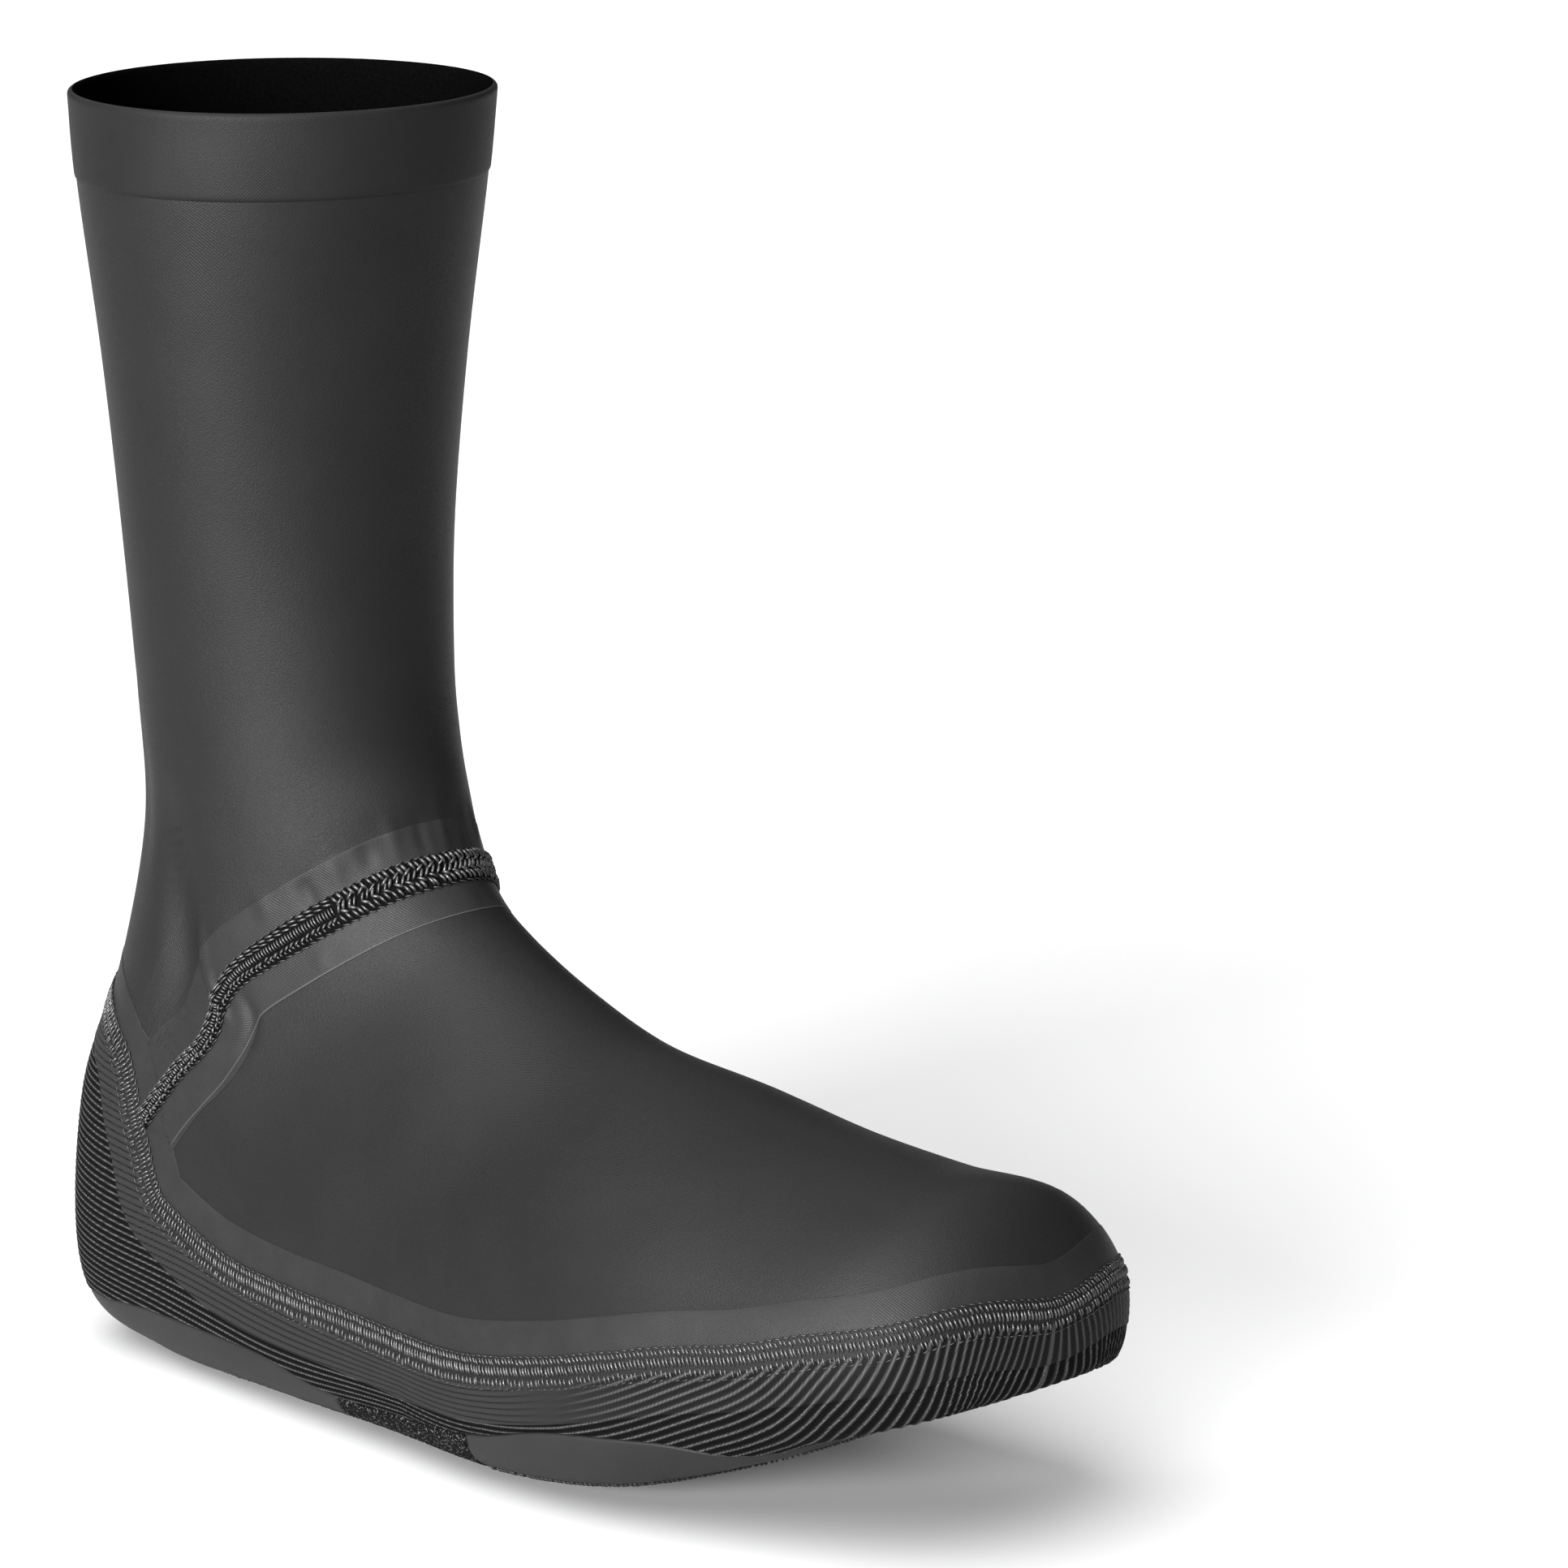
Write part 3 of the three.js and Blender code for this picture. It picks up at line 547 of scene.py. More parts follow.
def column_lengths(start, end):
    """The length over the wall of straight runs of places"""
    shares = np.linspace(0, 1, COLUMN_POINTS)[:, None]
    points = wall_point(start[0] + (end[0] - start[0]) * shares, start[1] + (end[1] - start[1]) * shares)
    return np.linalg.norm(np.diff(points, axis=0), axis=2).sum(axis=0)


def rib_profile(phase):
    return RIB_HEIGHT * (0.5 + 0.5 * np.cos(2 * np.pi * phase)) ** RIB_SHARPNESS


def spread(cells, width, radius, crowding=0):
    """Shares of the way across a sheet, finer along its rounded edges, and how far it drops there"""
    turn = np.linspace(0, math.pi / 2, EDGE_STEPS + 1)[:-1]
    edge = radius * (1 - np.cos(turn)) / width
    drop = radius * (1 - np.sin(turn))
    margin = radius / width
    even = np.linspace(0, 1, cells + 1)
    middle = margin + (1 - 2 * margin) * even * (1 + crowding * (1 - even))
    shares = np.concatenate([edge, middle, 1 - edge[::-1]])
    return shares, np.concatenate([drop, np.zeros(cells + 1), drop[::-1]])


def ladder(a, b, a_shares, b_shares):
    """Faces between two columns of vertices, which may have different numbers of them"""
    if len(a) == len(b):
        return list(zip(a[:-1], b[:-1], b[1:], a[1:]))
    faces = []
    i = 0
    j = 0
    while i < len(a) - 1 or j < len(b) - 1:
        if j == len(b) - 1 or (i < len(a) - 1 and a_shares[i + 1] < b_shares[j + 1]):
            faces.append((a[i], b[j], a[i + 1]))
            i += 1
        else:
            faces.append((a[i], b[j], b[j + 1]))
            j += 1
    return faces


def turned(faces):
    return [face[::-1] for face in faces]


def new_object(name, points, faces, materials, face_materials=None, uv=None, values=None):
    """A smooth-shaded mesh object from points in millimetres"""
    mesh = bpy.data.meshes.new(name)
    mesh.from_pydata((np.asarray(points) * METRES).tolist(), [], faces)
    for material in materials:
        mesh.materials.append(material)
    if face_materials is not None:
        mesh.polygons.foreach_set("material_index", np.asarray(face_materials, dtype=np.int32))
    if uv is not None:
        layer = mesh.uv_layers.new(name="Fabric")
        layer.data.foreach_set("uv", (np.asarray(uv) * METRES).ravel())
    for key, numbers in (values or {}).items():
        attribute = mesh.attributes.new(key, "FLOAT", "POINT")
        attribute.data.foreach_set("value", np.asarray(numbers, dtype=np.float32))
    mesh.polygons.foreach_set("use_smooth", np.ones(len(mesh.polygons), dtype=bool))
    mesh.update()
    obj = bpy.data.objects.new(name, mesh)
    bpy.context.scene.collection.objects.link(obj)
    return obj


def piece(obj, slot, *nodes):
    """Puts a new object on the body and hides the solids of the nodes that it stands for. slot, its
    finish, is not used.
    """
    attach(obj, "root")
    if nodes:
        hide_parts(*nodes)
    return obj


def sheet_faces(outer, inner, closed):
    """A sheet's faces between its outer and inner columns, each face's material, and whether the face
    closes the ring of columns"""
    faces, materials, closing = [], [], []
    count = len(outer)
    for near in range(count if closed else count - 1):
        far = (near + 1) % count
        (a, a_shares), (b, b_shares) = outer[near], outer[far]
        (c, c_shares), (d, d_shares) = inner[near], inner[far]
        outer_faces = turned(ladder(a, b, a_shares, b_shares))
        inner_faces = ladder(c, d, c_shares, d_shares)
        rims = [(c[0], a[0], b[0], d[0]), (c[-1], d[-1], b[-1], a[-1])]
        faces += outer_faces + rims + inner_faces
        materials += [0] * (len(outer_faces) + 2) + [1] * len(inner_faces)
        closing += [far < near] * (len(outer_faces) + 2 + len(inner_faces))
    if not closed:
        caps = turned(ladder(inner[0][0], outer[0][0], inner[0][1], outer[0][1]))
        caps += ladder(inner[-1][0], outer[-1][0], inner[-1][1], outer[-1][1])
        faces += caps
        materials += [0] * len(caps)
        closing += [False] * len(caps)
    return faces, materials, closing


def fabric(name, start, end, cells, thickness, materials, closed, height=0, surface=None, values=None,
           crowding=0):
    """A sheet of fabric on the wall with rounded edges, in columns that run from start places to end
    places. cells is how many cells each column has across, height how far its outside lies off the
    wall, values named numbers kept with its points, and surface(points, values) a further lift."""
    count = len(start[0])
    cells = np.broadcast_to(cells, count)
    widths = column_lengths(start, end)
    radius = thickness / 2
    middle = wall_point((start[0] + end[0]) / 2, (start[1] + end[1]) / 2)
    gaps = np.linalg.norm(np.diff(middle, axis=0, append=middle[:1]), axis=1)
    along = np.concatenate([[0], np.cumsum(gaps)])
    layers = []
    first = 0
    rows, girths, columns, acrosses, heights, outsides = [], [], [], [], [], []
    for outside in (True, False):
        layer = []
        for column in range(count):
            number = int(cells[column]) if outside else min(INNER_CELLS, int(cells[column]))
            shares, drop = spread(number, widths[column], radius, crowding)
            layer.append((np.arange(first, first + len(shares)).tolist(), shares))
            first += len(shares)
            rows.append(start[0][column] + (end[0][column] - start[0][column]) * shares)
            girths.append(start[1][column] + (end[1][column] - start[1][column]) * shares)
            columns.append(np.full(len(shares), column))
            acrosses.append(shares * widths[column])
            heights.append(height - drop if outside else height - thickness + drop)
            outsides.append(np.full(len(shares), outside))
        layers.append(layer)
    row, girth, column, across, lift, outside = map(
        np.concatenate, (rows, girths, columns, acrosses, heights, outsides))
    wall = wall_point(row, girth)
    lift = lift + relief(wall)
    kept = {key: function(wall) for key, function in (values or {}).items()}
    if surface:
        lift = lift + np.where(outside, surface(wall, kept), 0)
    points = wall + wall_frame(row, girth)[2] * lift[:, None]

    faces, face_materials, closing = sheet_faces(*layers, closed)
    corners = [corner for face in faces for corner in face]
    sizes = [len(face) for face in faces]
    wrapped = np.repeat(closing, sizes) & (column[corners] == 0)
    uv = np.stack([along[column[corners]] + wrapped * along[-1], across[corners]], axis=1)
    if signed_volume(points, faces) < 0:
        order = np.concatenate([np.arange(end, start, -1) - 1 for start, end in corner_spans(sizes)])
        faces = turned(faces)
        uv = uv[order]
    return new_object(name, points, faces, materials, face_materials, uv, kept)


def corner_spans(sizes):
    ends = np.cumsum(sizes)
    return zip(ends - np.array(sizes), ends)


def signed_volume(points, faces):
    fans = np.array([(face[0], face[k], face[k + 1]) for face in faces for k in range(1, len(face) - 1)])
    a, b, c = points[fans[:, 0]], points[fans[:, 1]], points[fans[:, 2]]
    return np.sum(a * np.cross(b, c))


# Materials


# How much light the finishes reflect at their surface, as shares of the shader's own scale
COATED_REFLECTION = 0.1
RIB_REFLECTION = 0.05
THREAD_REFLECTION = 0.55
FLOOR_REFLECTION = 0.2
DULL = 0.9

# Noises over the fabric: features a metre, detail and roughness
NOISES = {
    "clouds": (45, 3, 0.55),
    "tape clouds": (120, 3, 0.6),
    "grain": (2600, 2, 0.6),
    "tape grain": (2200, 2, 0.6),
    "fuzz": (1500, 2, 0.6),
    "strands": (900, 2, 0.5),
    "fibres": (4000, 2, 0.6),
    "lumps": (1100, 3, 0.7),
    "glint_specks": (1700, 1, 0.5),
    "floor": (3, 1, 0.5),
}

# Twills: pitch in millimetres, angle in degrees and depth as a share of the grain's
PANEL_TWILL = (0.5, 52, 0.3)
EDGING_TWILL = (0.4, 52, 0.3)
TAPE_TWILL = (0.55, 40, 0.6)

# The bright line on a tape, a painted highlight along its rounded edge, in millimetres: how far from its
# edge, and how wide
HIGHLIGHT_LINE_INSET = 0.25
HIGHLIGHT_LINE_WIDTH = 0.26

# Depths of fine relief in millimetres
RIB_BUMP = 0.25
TAPE_BUMP = 0.06
THREAD_BUMP = 0.08
STRAP_BUMP = 0.5


def grey(value):
    return (value, value, value * 1.01, 1)


class Finish:
    """A material in the making: its shader and the nodes that feed it"""

    def __init__(self, name, reflection):
        self.material = bpy.data.materials.new(name)
        self.material.use_nodes = True
        self.nodes = self.material.node_tree.nodes
        self.links = self.material.node_tree.links
        self.shader = self.nodes["Principled BSDF"]
        self.shader.inputs["Specular IOR Level"].default_value = reflection

    def feed(self, source, name):
        """Links a socket to one of the shader's inputs"""
        self.links.new(source, self.shader.inputs[name])

    def math(self, operation, *values):
        """A Math node over numbers and sockets"""
        node = self.nodes.new("ShaderNodeMath")
        node.operation = operation
        for socket, value in zip(node.inputs, values):
            if isinstance(value, (int, float)):
                socket.default_value = value
            else:
                self.links.new(value, socket)
        return node.outputs[0]

    def ramp(self, factor, *stops):
        """A colour ramp of greys from (position, value) stops"""
        node = self.nodes.new("ShaderNodeValToRGB")
        elements = node.color_ramp.elements
        while len(elements) < len(stops):
            elements.new(1)
        for element, (position, value) in zip(elements, stops):
            element.position = position
            element.color = grey(value)
        self.links.new(factor, node.inputs["Fac"])
        return node.outputs["Color"]

    def varied(self, noise, low, high):
        """Greys from low to high that follow a noise"""
        return self.ramp(noise, (0.3, low), (0.7, high))

    def mix(self, factor, first, second):
        """A mix of a socket and a socket or grey"""
        node = self.nodes.new("ShaderNodeMix")
        node.data_type = "RGBA"
        self.links.new(factor, node.inputs["Factor"])
        self.links.new(first, node.inputs["A"])
        if isinstance(second, float):
            node.inputs["B"].default_value = grey(second)
        else:
            self.links.new(second, node.inputs["B"])
        return node.outputs["Result"]

    def noise(self, name):
        """One of the noises over the object's own coordinates"""
        coordinates = self.nodes.new("ShaderNodeTexCoord")
        node = self.nodes.new("ShaderNodeTexNoise")
        for key, value in zip(("Scale", "Detail", "Roughness"), NOISES[name]):
            node.inputs[key].default_value = value
        self.links.new(coordinates.outputs["Object"], node.inputs["Vector"])
        return node.outputs["Fac"]

    def kept(self, name):
        """A number that is kept with the mesh's points"""
        node = self.nodes.new("ShaderNodeAttribute")
        node.attribute_name = name
        return node.outputs["Fac"]

    def fabric_map(self):
        """The fabric's own coordinates, along it and across it"""
        node = self.nodes.new("ShaderNodeUVMap")
        node.uv_map = "Fabric"
        return node.outputs["UV"]

    def fabric_place(self):
        split = self.nodes.new("ShaderNodeSeparateXYZ")
        self.links.new(self.fabric_map(), split.inputs[0])
        return split.outputs["X"], split.outputs["Y"]

    def twill_and_grain(self, twill, grain):
        """The height of fine parallel threads and of a noise over them"""
        pitch, turn, depth = twill
        mapping = self.nodes.new("ShaderNodeMapping")
        mapping.inputs["Rotation"].default_value = (0, 0, math.radians(turn))
        wave = self.nodes.new("ShaderNodeTexWave")
        wave.inputs["Scale"].default_value = math.pi / (10 * pitch * METRES)
        wave.inputs["Distortion"].default_value = 0
        self.links.new(self.fabric_map(), mapping.inputs["Vector"])
        self.links.new(mapping.outputs["Vector"], wave.inputs["Vector"])
        return self.math("ADD", self.math("MULTIPLY", wave.outputs["Fac"], depth), grain)

    def half_wave(self, shape, turns):
        """A sine or cosine between 0 and 1"""
        return self.math("MULTIPLY_ADD", self.math(shape, turns), 0.5, 0.5)

    def rib_loops(self, sharpness, pitch):
        """Loops of thread on the ribs, 1 on a loop and 0 between the ribs"""
        slant = 0.7
        wave = self.half_wave("COSINE", self.math("MULTIPLY", self.kept("rib"), 2 * math.pi))
        along, across = self.fabric_place()
        way = self.math("ADD", along, self.math("MULTIPLY", across, slant))
        dots = self.half_wave("SINE", self.math("MULTIPLY", way, 2 * math.pi / (pitch * METRES)))
        crests = self.math("POWER", wave, sharpness)
        return self.math("MULTIPLY", crests, self.math("MULTIPLY_ADD", dots, 0.5, 0.5))

    def bump(self, height, depth):
        node = self.nodes.new("ShaderNodeBump")
        node.inputs["Distance"].default_value = depth * METRES
        self.links.new(height, node.inputs["Height"])
        self.feed(node.outputs["Normal"], "Normal")


def plain(name, base):
    """Dull black cloth for places that the light hardly reaches, painted near black as painted shade,
    darker than the fabrics outside
    """
    finish = Finish(name, 0)
    finish.feed(finish.varied(finish.noise("fuzz"), base * 0.7, base * 1.3), "Base Color")
    finish.shader.inputs["Roughness"].default_value = DULL
    return finish.material


def coated(name, base, roughness, twill, depth):
    """Matte coated stretch knit: soft tonal clouds, a fine twill and uneven gloss"""
    finish = Finish(name, COATED_REFLECTION)
    finish.feed(finish.varied(finish.noise("clouds"), base * 0.9, base * 1.1), "Base Color")
    grain = finish.noise("grain")
    finish.feed(finish.varied(grain, roughness - 0.05, roughness + 0.05), "Roughness")
    finish.bump(finish.twill_and_grain(twill, grain), depth)
    return finish.material


def ribbed(name, lit_crest, shaded_valley, loop_pitch):
    """Ribbed fabric of shiny loops, coloured light on the loops as a painted highlight and near black
    between the ribs as painted shade
    """
    finish = Finish(name, RIB_REFLECTION)
    loops = finish.rib_loops(5, loop_pitch)
    fuzz = finish.noise("fuzz")
    # The colour below is painted light: bright on the loops' crests, near black between the ribs, uneven
    # along the fuzz
    uneven = finish.math("MULTIPLY", loops, finish.math("MULTIPLY", fuzz, 2))
    finish.feed(finish.ramp(uneven, (0, shaded_valley), (0.45, (lit_crest + shaded_valley) / 3), (1, lit_crest)), "Base Color")
    finish.feed(finish.ramp(loops, (0, DULL), (1, 0.45)), "Roughness")
    finish.bump(finish.math("ADD", loops, finish.math("MULTIPLY", fuzz, 0.4)), RIB_BUMP)
    return finish.material


def tape_surface(finish, tone, roughness):
    """Gives a tape its tone, uneven gloss and fine twill"""
    finish.feed(tone, "Base Color")
    grain = finish.noise("tape grain")
    finish.feed(finish.varied(grain, roughness - 0.06, roughness + 0.06), "Roughness")
    finish.bump(finish.twill_and_grain(TAPE_TWILL, grain), TAPE_BUMP)
    return finish.material


def taped(name, base, roughness, highlight_place=None):
    """Thin tape, with a fine bright line near its edge at the place given, a painted highlight where its
    rounded edge catches the light
    """
    finish = Finish(name, COATED_REFLECTION)
    tone = finish.varied(finish.noise("tape clouds"), base * 0.88, base * 1.12)
    # A painted highlight: a thin bright line along the tape's rounded edge
    if highlight_place:
        across = finish.fabric_place()[1]
        away = finish.math("ABSOLUTE", finish.math("SUBTRACT", across, highlight_place * METRES))
        tone = finish.mix(finish.math("LESS_THAN", away, HIGHLIGHT_LINE_WIDTH / 2 * METRES), tone, 0.03)
    return tape_surface(finish, tone, roughness)


def taped_ribs(name, base, roughness, painted_rib_shade):
    """Thin tape that ribs show through, as painted shade lines at the heel and painted highlights at the
    toe, over a grey painted darker at the toe
    """
    finish = Finish(name, RIB_REFLECTION)
    front = finish.kept("front")
    # Painted light along the foot: the grey darkens round the toe, and the ribs turn from painted shade
    # at the heel to painted highlights at the toe
    ground = finish.ramp(front, (0, base), (1, base * 0.15))
    ribs = finish.ramp(front, (0, painted_rib_shade), (0.5, base), (1, base * 3.5))
    return tape_surface(finish, finish.mix(finish.rib_loops(4, 0.9), ground, ribs), roughness)


def thread(name, base, roughness):
    """Glossy twisted thread"""
    finish = Finish(name, THREAD_REFLECTION)
    finish.feed(finish.varied(finish.noise("strands"), base * 0.5, base * 1.6), "Base Color")
    fibres = finish.noise("fibres")
    finish.feed(finish.varied(fibres, roughness - 0.08, roughness + 0.1), "Roughness")
    finish.bump(fibres, THREAD_BUMP)
    return finish.material


def rough_strap(name):
    """Rough black fabric flecked with glints of light, painted into its colour as painted highlights,
    where its fibres are glossier
    """
    finish = Finish(name, RIB_REFLECTION)
    glint_specks = finish.noise("glint_specks")
    # Painted highlights: light flecks of painted glint on the black
    finish.feed(finish.ramp(glint_specks, (0.58, 0.002), (0.7, 0.06)), "Base Color")
    finish.feed(finish.ramp(glint_specks, (0.55, DULL), (0.7, 0.35)), "Roughness")
    finish.bump(finish.noise("lumps"), STRAP_BUMP)
    return finish.material


def floor_finish(name, base):
    finish = Finish(name, FLOOR_REFLECTION)
    tone = finish.ramp(finish.noise("floor"), (0.2, base), (0.8, base * 0.995))
    finish.feed(tone, "Base Color")
    finish.shader.inputs["Roughness"].default_value = DULL
    return finish.material


COATED = coated("coated_fabric", base=0.006, roughness=0.5, twill=PANEL_TWILL, depth=0.1)
CUFF = coated("cuff_fabric", base=0.0055, roughness=0.57, twill=PANEL_TWILL, depth=0.09)
INSIDE = plain("inside_fabric", base=0.001)
# The ribbed fabric's crest and valley tones are a painted highlight and painted shade
RIBBED = ribbed("ribbed_fabric", lit_crest=0.055, shaded_valley=0.0008, loop_pitch=0.95)
TAPE_OVER_PANEL = taped("panel_tape", base=0.0093, roughness=0.5)
# This tape carries the painted highlight along its edge
TAPE_WITH_HIGHLIGHT = taped("highlighted_tape", base=0.0093, roughness=0.5,
                   highlight_place=TAPE_WIDTH / 2 - TAPE_START - HIGHLIGHT_LINE_INSET)
# The ribs under this tape are painted dark at the heel as shade and bright at the toe as highlights
TAPE_OVER_RIBS = taped_ribs("rib_tape", base=0.012, roughness=0.55, painted_rib_shade=0.001)
THREAD = thread("seam_thread", base=0.015, roughness=0.3)
SEAM_GROUND = coated("seam_ground", base=0.0053, roughness=0.55, twill=PANEL_TWILL, depth=0.1)
# The ankle seam's ground under its stitches: dull and near black, darker than the rand seam's ground, as
# painted shade in the gaps between the stitches
PAINTED_SHADE_GROUND = plain("painted_shade_ground", base=0.0025)
EDGED = coated("edging_fabric", base=0.011, roughness=0.5, twill=EDGING_TWILL, depth=0.05)
OVERLOCK = thread("overlock_thread", base=0.002, roughness=0.5)
ROUGH = rough_strap("rough_strap")
FLOOR = floor_finish("floor", base=0.42)


# Panels


DOWN = np.array([0.0, 0, -1])


def cuff_band():
    girth = np.linspace(0, 1, LEG_COLUMNS + 1)[:-1]
    rim = np.zeros(LEG_COLUMNS)
    end = slide(rim, girth, np.tile(DOWN, (LEG_COLUMNS, 1)), np.full(LEG_COLUMNS, CUFF_DEPTH))
    obj = fabric("cuff_hem", (rim, girth), end, CUFF_CELLS, CUFF_FABRIC, [CUFF, INSIDE], True,
                 height=CUFF_STEP)
    return piece(obj, "cuff_fabric", "cuff_band")


def ankle_edge(columns):
    """The places along the ankle seam, a little clear of the rand at both ends"""
    return ankle_seam.place(even_knots(ankle_seam, SEAM_CLEARANCE, ankle_seam.length - SEAM_CLEARANCE,
                                       columns))


def leg():
    """The leg ends on the ankle seam in front and on the rand behind"""
    front = int(LEG_COLUMNS * LEG_FRONT)
    back = (LEG_COLUMNS - front) // 2
    seam = ankle_edge(front)
    junction = rand_top.distance_at(JUNCTION)
    behind = rand_top.place(even_knots(rand_top, 0, junction - SEAM_CLEARANCE, back))
    row = np.concatenate([behind[0][1:], seam[0], behind[0][::-1]])
    girth = np.concatenate([behind[1][1:], seam[1], 1 - behind[1][::-1]])
    count = len(row)
    level = 0.5 - np.arange(1, count + 1) / count
    girth = girth + np.round(level - girth)
    top = slide(np.zeros(count), level, np.tile(DOWN, (count, 1)), np.full(count, CUFF_DEPTH - CUFF_LAP))
    obj = fabric("leg_panel", top, (row, girth), LEG_CELLS, PANEL_FABRIC, [COATED, INSIDE], True,
                 crowding=LEG_CROWDING)
    return piece(obj, "coated_fabric", "leg")


def foot_upper():
    start = rand_top.distance_at(JUNCTION) + SEAM_CLEARANCE
    end = rand_top.distance_at(LAST_KNOT - JUNCTION) - SEAM_CLEARANCE
    edge = rand_top.place(even_knots(rand_top, start, end, FOOT_COLUMNS))
    obj = fabric("foot_panel", ankle_edge(FOOT_COLUMNS), edge, FOOT_CELLS, PANEL_FABRIC,
                 [COATED, INSIDE], False)
    return piece(obj, "coated_fabric", "foot_upper")


def rand():
    """The ribbed band. Its columns crowd together where its ribs run across them, at heel and toe."""
    heel = rand_top.distance_at(RAND_PLACES.index("heel end"))
    toe = rand_top.distance_at(TOE_CORNER - 2)
    stretches = [(0, heel, HEEL_CELL), (heel, toe, SIDE_CELL), (toe, rand_top.length - toe, TOE_CELL),
                 (rand_top.length - toe, rand_top.length - heel, SIDE_CELL),
                 (rand_top.length - heel, rand_top.length, HEEL_CELL)]
    distances = np.concatenate([
        np.linspace(start, end, int((end - start) / cell))[:-1] for start, end, cell in stretches])
    knots = rand_top.knot_at(distances)
    top = rand_top.place(knots)
    bottom = rand_bottom.place(knots)
    in_toe = (distances >= toe) & (distances < rand_top.length - toe)
    cell = np.where(in_toe, TOE_RIB_CELL, HEEL_RIB_CELL)
    cells = np.ceil(column_lengths(top, bottom) / cell / 4).astype(int) * 4
    obj = fabric("rand_ribs", top, bottom, cells, RAND_FABRIC, [RIBBED, INSIDE], True,
                 surface=lambda points, kept: rib_profile(kept["rib"]), values={"rib": rib_phase})
    return piece(obj, "ribbed_fabric", "rand")


# Seams


def softened(middle, edge):
    """The edge of a closed strip with its kinks evened out over a few columns"""
    reach = 4
    window = np.ones(2 * reach + 1) / (2 * reach + 1)
    return [centre + np.convolve(np.pad(side - centre, reach, mode="wrap"), window, mode="valid")
            for centre, side in zip(middle, edge)]


def band(name, line, inner, outer, cells, material, height, surface=None, values=None):
    """A thin strip that follows a closed line between two distances from it"""
    distances = np.linspace(0, line.length, int(line.length / TAPE_CELL) + 1)[:-1]
    knots = line.knot_at(distances)
    near = softened(line.place(knots), line.beside(knots, np.full(len(knots), float(inner))))
    far = softened(line.place(knots), line.beside(knots, np.full(len(knots), float(outer))))
    return fabric(name, near, far, cells, TAPE_FILM, [material, material], True, height=height,
                  surface=surface, values=values)


def rand_tapes():
    edge = TAPE_WIDTH / 2
    lower = band("rand_tape_lower", rand_top, -TAPE_START, -edge, RIB_TAPE_CELLS, TAPE_OVER_RIBS,
                 TAPE_LIFT + RIB_HEIGHT / 2,
                 surface=lambda points, kept: TAPE_RELIEF * rib_profile(kept["rib"]),
                 values={"rib": rib_phase, "front": frontness})
    piece(lower, "seam_tape", "rand_seam_tape_lower")
    upper = band("rand_tape_upper", rand_top, edge, TAPE_START, TAPE_CELLS, TAPE_OVER_PANEL, TAPE_LIFT)
    piece(upper, "seam_tape", "rand_seam_tape_upper")


def narrowing(along):
    """How narrow the ankle seam is along its length, narrowest towards the rand"""
    share = np.minimum(along, ankle_seam.length - along) / ankle_seam.length
    return NARROW_END + (1 - NARROW_END) * smooth_step(*NARROW_RANGE, share)


def clear_of_rand(distance, from_end, gap):
    """How far along the ankle seam, from one end, a place beside it first clears the rand's seam"""
    alongs = np.arange(0, ankle_seam.length / 2, 0.25)
    knots = ankle_seam.knot_at(ankle_seam.length - alongs if from_end else alongs)
    points = wall_point(*ankle_seam.beside(knots, np.full(len(knots), float(distance))))
    gaps = np.linalg.norm(points[:, None] - rand_top.points[None], axis=2).min(axis=1)
    return alongs[np.argmax(gaps > gap)]


def ankle_strip(name, inner, outer, cells, material, height, slot, node, gap, narrowed):
    """A thin strip of the ankle seam, whose ends slant along the rand's seam"""
    count = int(ankle_seam.length / TAPE_CELL)
    edges = []
    for distance in (inner, outer):
        start = clear_of_rand(distance, False, gap)
        end = ankle_seam.length - clear_of_rand(distance, True, gap)
        alongs = np.linspace(start, end, count + 1)
        asides = distance * (narrowing(alongs) if narrowed else np.ones(count + 1))
        edges.append(ankle_seam.beside(ankle_seam.knot_at(alongs), asides))
    obj = fabric(name, edges[0], edges[1], cells, TAPE_FILM, [material, material], False, height=height)
    return piece(obj, slot, node)


def ankle_tapes():
    edge = TAPE_WIDTH / 2
    gap = edge - TAPE_OVERLAP
    ankle_strip("ankle_tape_upper", edge, TAPE_START, TAPE_CELLS, TAPE_OVER_PANEL, TAPE_LIFT,
                "seam_tape", "ankle_seam_tape_upper", gap, False)
    ankle_strip("ankle_tape_lower", -TAPE_START, -edge, TAPE_CELLS, TAPE_WITH_HIGHLIGHT, TAPE_LIFT,
                "seam_tape", "ankle_seam_tape_lower", gap, False)


